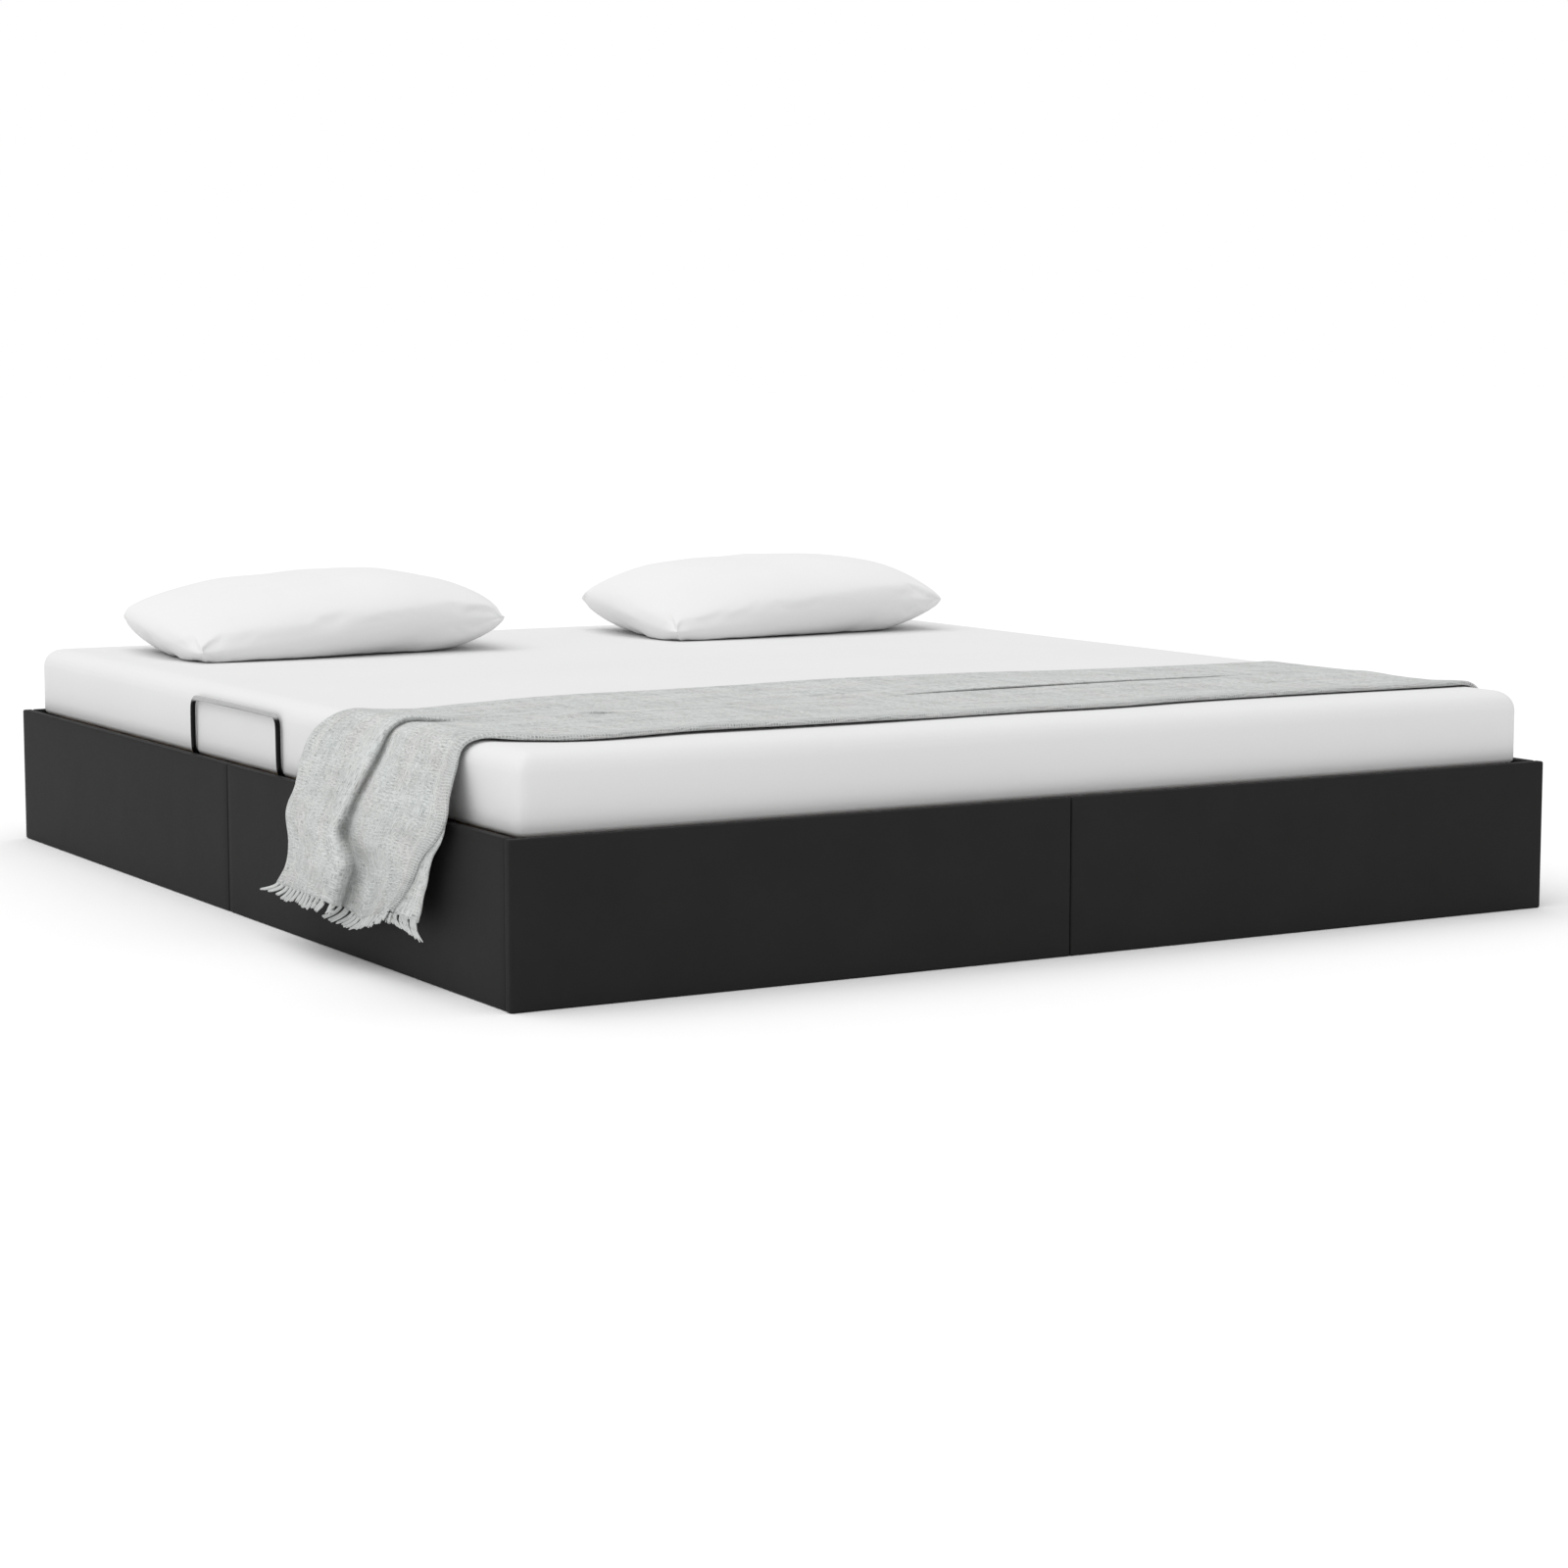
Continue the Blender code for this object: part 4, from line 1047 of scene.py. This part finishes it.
def put_joiner_screws(bm, node, axis, sign):
    """Two rows of four screws in the inner face of a batten."""
    low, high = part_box(node)
    inset = 16 * MM
    run = 1 - axis
    for i in range(4):
        for z in (low.z + inset, high.z - inset):
            spot, normal = [0.0, 0.0, z], [0, 0, 0]
            spot[axis] = high[axis] if sign > 0 else low[axis]
            spot[run] = low[run] + inset + (high[run] - low[run] - 2 * inset) * i / 3
            normal[axis] = sign
            put_screw(bm, spot, normal, WOOD_SCREW)


def plate_face(low, high, sign, axis=1):
    """Inner face of a bracket's plate that lies on the wall on that side."""
    return high[axis] - BRACKET_PLATE if sign > 0 else low[axis] + BRACKET_PLATE


def put_bracket_screws(bm, node, sx, sy):
    """Three screws in each leg of a corner bracket."""
    low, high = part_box(node)
    wall_x, wall_y = plate_face(low, high, sx, 0), plate_face(low, high, sy)
    x = low.x + 0.020 if sx > 0 else high.x - 0.020
    y = low.y + 0.020 if sy > 0 else high.y - 0.020
    for z in (0.060, 0.090, 0.120):
        put_screw(bm, (wall_x, y, z), (-sx, 0, 0), WOOD_SCREW)
        put_screw(bm, (x, wall_y, z), (0, -sy, 0), WOOD_SCREW)


def make_screws(material):
    base, moving = bmesh.new(), bmesh.new()
    for side, sx in SIDES:
        for end, sy in ENDS:
            put_bracket_screws(base, f"corner_bracket_{side}_{end}", sx, sy)
        put_joiner_screws(base, f"side_joiner_{side}", 0, -sx)
    for end, sy in ENDS:
        put_joiner_screws(base, f"{end}_joiner", 1, -sy)
        low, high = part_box(f"hinge_leaf_{end}")
        for y in (low.y + 0.014, (low.y + high.y) / 2, high.y - 0.014):
            put_screw(base, (high.x - LEAF_PLATE, y, low.z + 0.012), (-1, 0, 0), SMALL_SCREW)
        low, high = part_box(f"strut_anchor_{end}")
        for z in (low.z + 0.010, high.z - 0.010):
            put_screw(base, (low.x + 0.012, plate_face(low, high, sy), z), (0, -sy, 0), ANCHOR_SCREW)
        low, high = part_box(f"strut_bracket_{end}")
        for x in (low.x + 0.008, high.x - 0.008):
            put_screw(moving, (x, plate_face(low, high, sy), high.z - 0.010), (0, -sy, 0), SMALL_SCREW)
    add_piece("base_screws", base, material, "base", smooth=False)
    add_piece("frame_screws", moving, material, "platform", smooth=False)


# ---------------------------- stage
CAMERA_PLACE = (-2.99847, -5.30043, 0.89089)
CAMERA_YAW, CAMERA_PITCH = 30.345, -6.935
CAMERA_LENS, SENSOR = 81.674, 36.0
FLOOR_HALF = 60.0
FLOOR_Z = -0.5 * MM  # just under the bed's lower edges
AMBIENT = 0.64  # strength of the even light on the bed
BACKDROP = 1.0  # and of the white seen behind it
SUN_STRENGTH = 1.45
SUN_SPREAD = 70  # degrees
SUN_AIM = (0.34, 0.0, -1.0)


def make_camera():
    camera = bpy.data.cameras.new("camera")
    camera.sensor_width = SENSOR
    camera.lens = CAMERA_LENS
    camera.clip_start, camera.clip_end = 0.1, 200.0
    item = bpy.data.objects.new("camera", camera)
    item.location = CAMERA_PLACE
    item.rotation_euler = (math.radians(90 + CAMERA_PITCH), 0.0, math.radians(-CAMERA_YAW))
    bpy.context.scene.collection.objects.link(item)
    bpy.context.scene.camera = item


def make_floor(material):
    corners = ((-1, -1), (1, -1), (1, 1), (-1, 1))
    bm = bmesh.new()
    bm.faces.new([bm.verts.new((x * FLOOR_HALF, y * FLOOR_HALF, FLOOR_Z)) for x, y in corners])
    add_piece("studio_floor", bm, material, None)


def make_overhead_light():
    """Very soft light from above, a little from the opening side."""
    light = bpy.data.lights.new("overhead", "SUN")
    light.energy = SUN_STRENGTH
    light.angle = math.radians(SUN_SPREAD)
    item = bpy.data.objects.new("overhead", light)
    item.rotation_euler = Vector(SUN_AIM).to_track_quat("-Z", "Y").to_euler()
    bpy.context.scene.collection.objects.link(item)


def make_world():
    """White backdrop to the camera, and an even soft light on the bed."""
    scene = bpy.context.scene
    scene.world = bpy.data.worlds.new("studio")
    scene.world.use_nodes = True
    tree = scene.world.node_tree
    mix = tree.nodes.new("ShaderNodeMixShader")
    ray = tree.nodes.new("ShaderNodeLightPath")
    tree.links.new(ray.outputs["Is Camera Ray"], mix.inputs[0])
    seen = tree.nodes.new("ShaderNodeBackground")
    for socket, back, strength in ((1, tree.nodes["Background"], AMBIENT), (2, seen, BACKDROP)):
        back.inputs["Color"].default_value = (1, 1, 1, 1)
        back.inputs["Strength"].default_value = strength
        tree.links.new(back.outputs[0], mix.inputs[socket])
    tree.links.new(mix.outputs[0], tree.nodes["World Output"].inputs[0])
    scene.view_settings.view_transform = "Standard"
    scene.view_settings.look = "None"


def make_stage():
    make_camera()
    make_floor(floor_material())
    make_world()
    make_overhead_light()


# ---------------------------- assembly
def make_materials():
    pine_light, pine_dark = (0.70, 0.50, 0.30), (0.50, 0.31, 0.155)
    return {
        "leather": leather_material(),
        "board": board_material(),
        "pine_x": wood_material("pine_grain_x", pine_light, pine_dark, "x", 0.6),
        "pine_y": wood_material("pine_grain_y", pine_light, pine_dark, "y", 0.6),
        "pine_z": wood_material("pine_grain_z", pine_light, pine_dark, "z", 0.6),
        "beech": wood_material("beech_slats", (0.78, 0.60, 0.40), (0.60, 0.41, 0.24), "x", 0.42),
        "frame_paint": painted_material("satin_black_frame", 0.014, 0.42, 380.0),
        "strut_paint": painted_material("black_strut_tube", 0.010, 0.25, 600.0),
        "gloss_paint": rod_material(),
        "zinc_z": metal_material("zinc_plate_upright", (0.55, 0.56, 0.58), 0.32, "z"),
        "zinc_y": metal_material("zinc_plate_long", (0.55, 0.56, 0.58), 0.32, "y"),
        "chrome": metal_material("polished_strut_rod", (0.80, 0.80, 0.82), 0.10, "x"),
        "rubber": rubber_material(),
        "knit": cloth_material("white_knit_cover", (0.805, 0.805, 0.805), 2.2 * MM, 0.18 * MM, 0.06),
        "cotton": cloth_material("white_cotton_case", (0.845, 0.845, 0.845), 1.1 * MM, 0.10 * MM, 0.08),
        "weave": weave_material(),
        "yarn": yarn_material(),
    }


def main():
    make_stage()
    materials = make_materials()
    dress_cad_nodes(materials)
    make_panels(materials["leather"])
    mattress = make_mattress(materials["knit"])
    for seed, node in enumerate(("pillow_left", "pillow_right"), 3):
        make_pillow(node, materials["cotton"], seed)
    throw, hems, flat = make_throw(materials["weave"])
    fringes = make_fringes(hems, materials["yarn"])
    make_screws(materials["zinc_z"])


main()
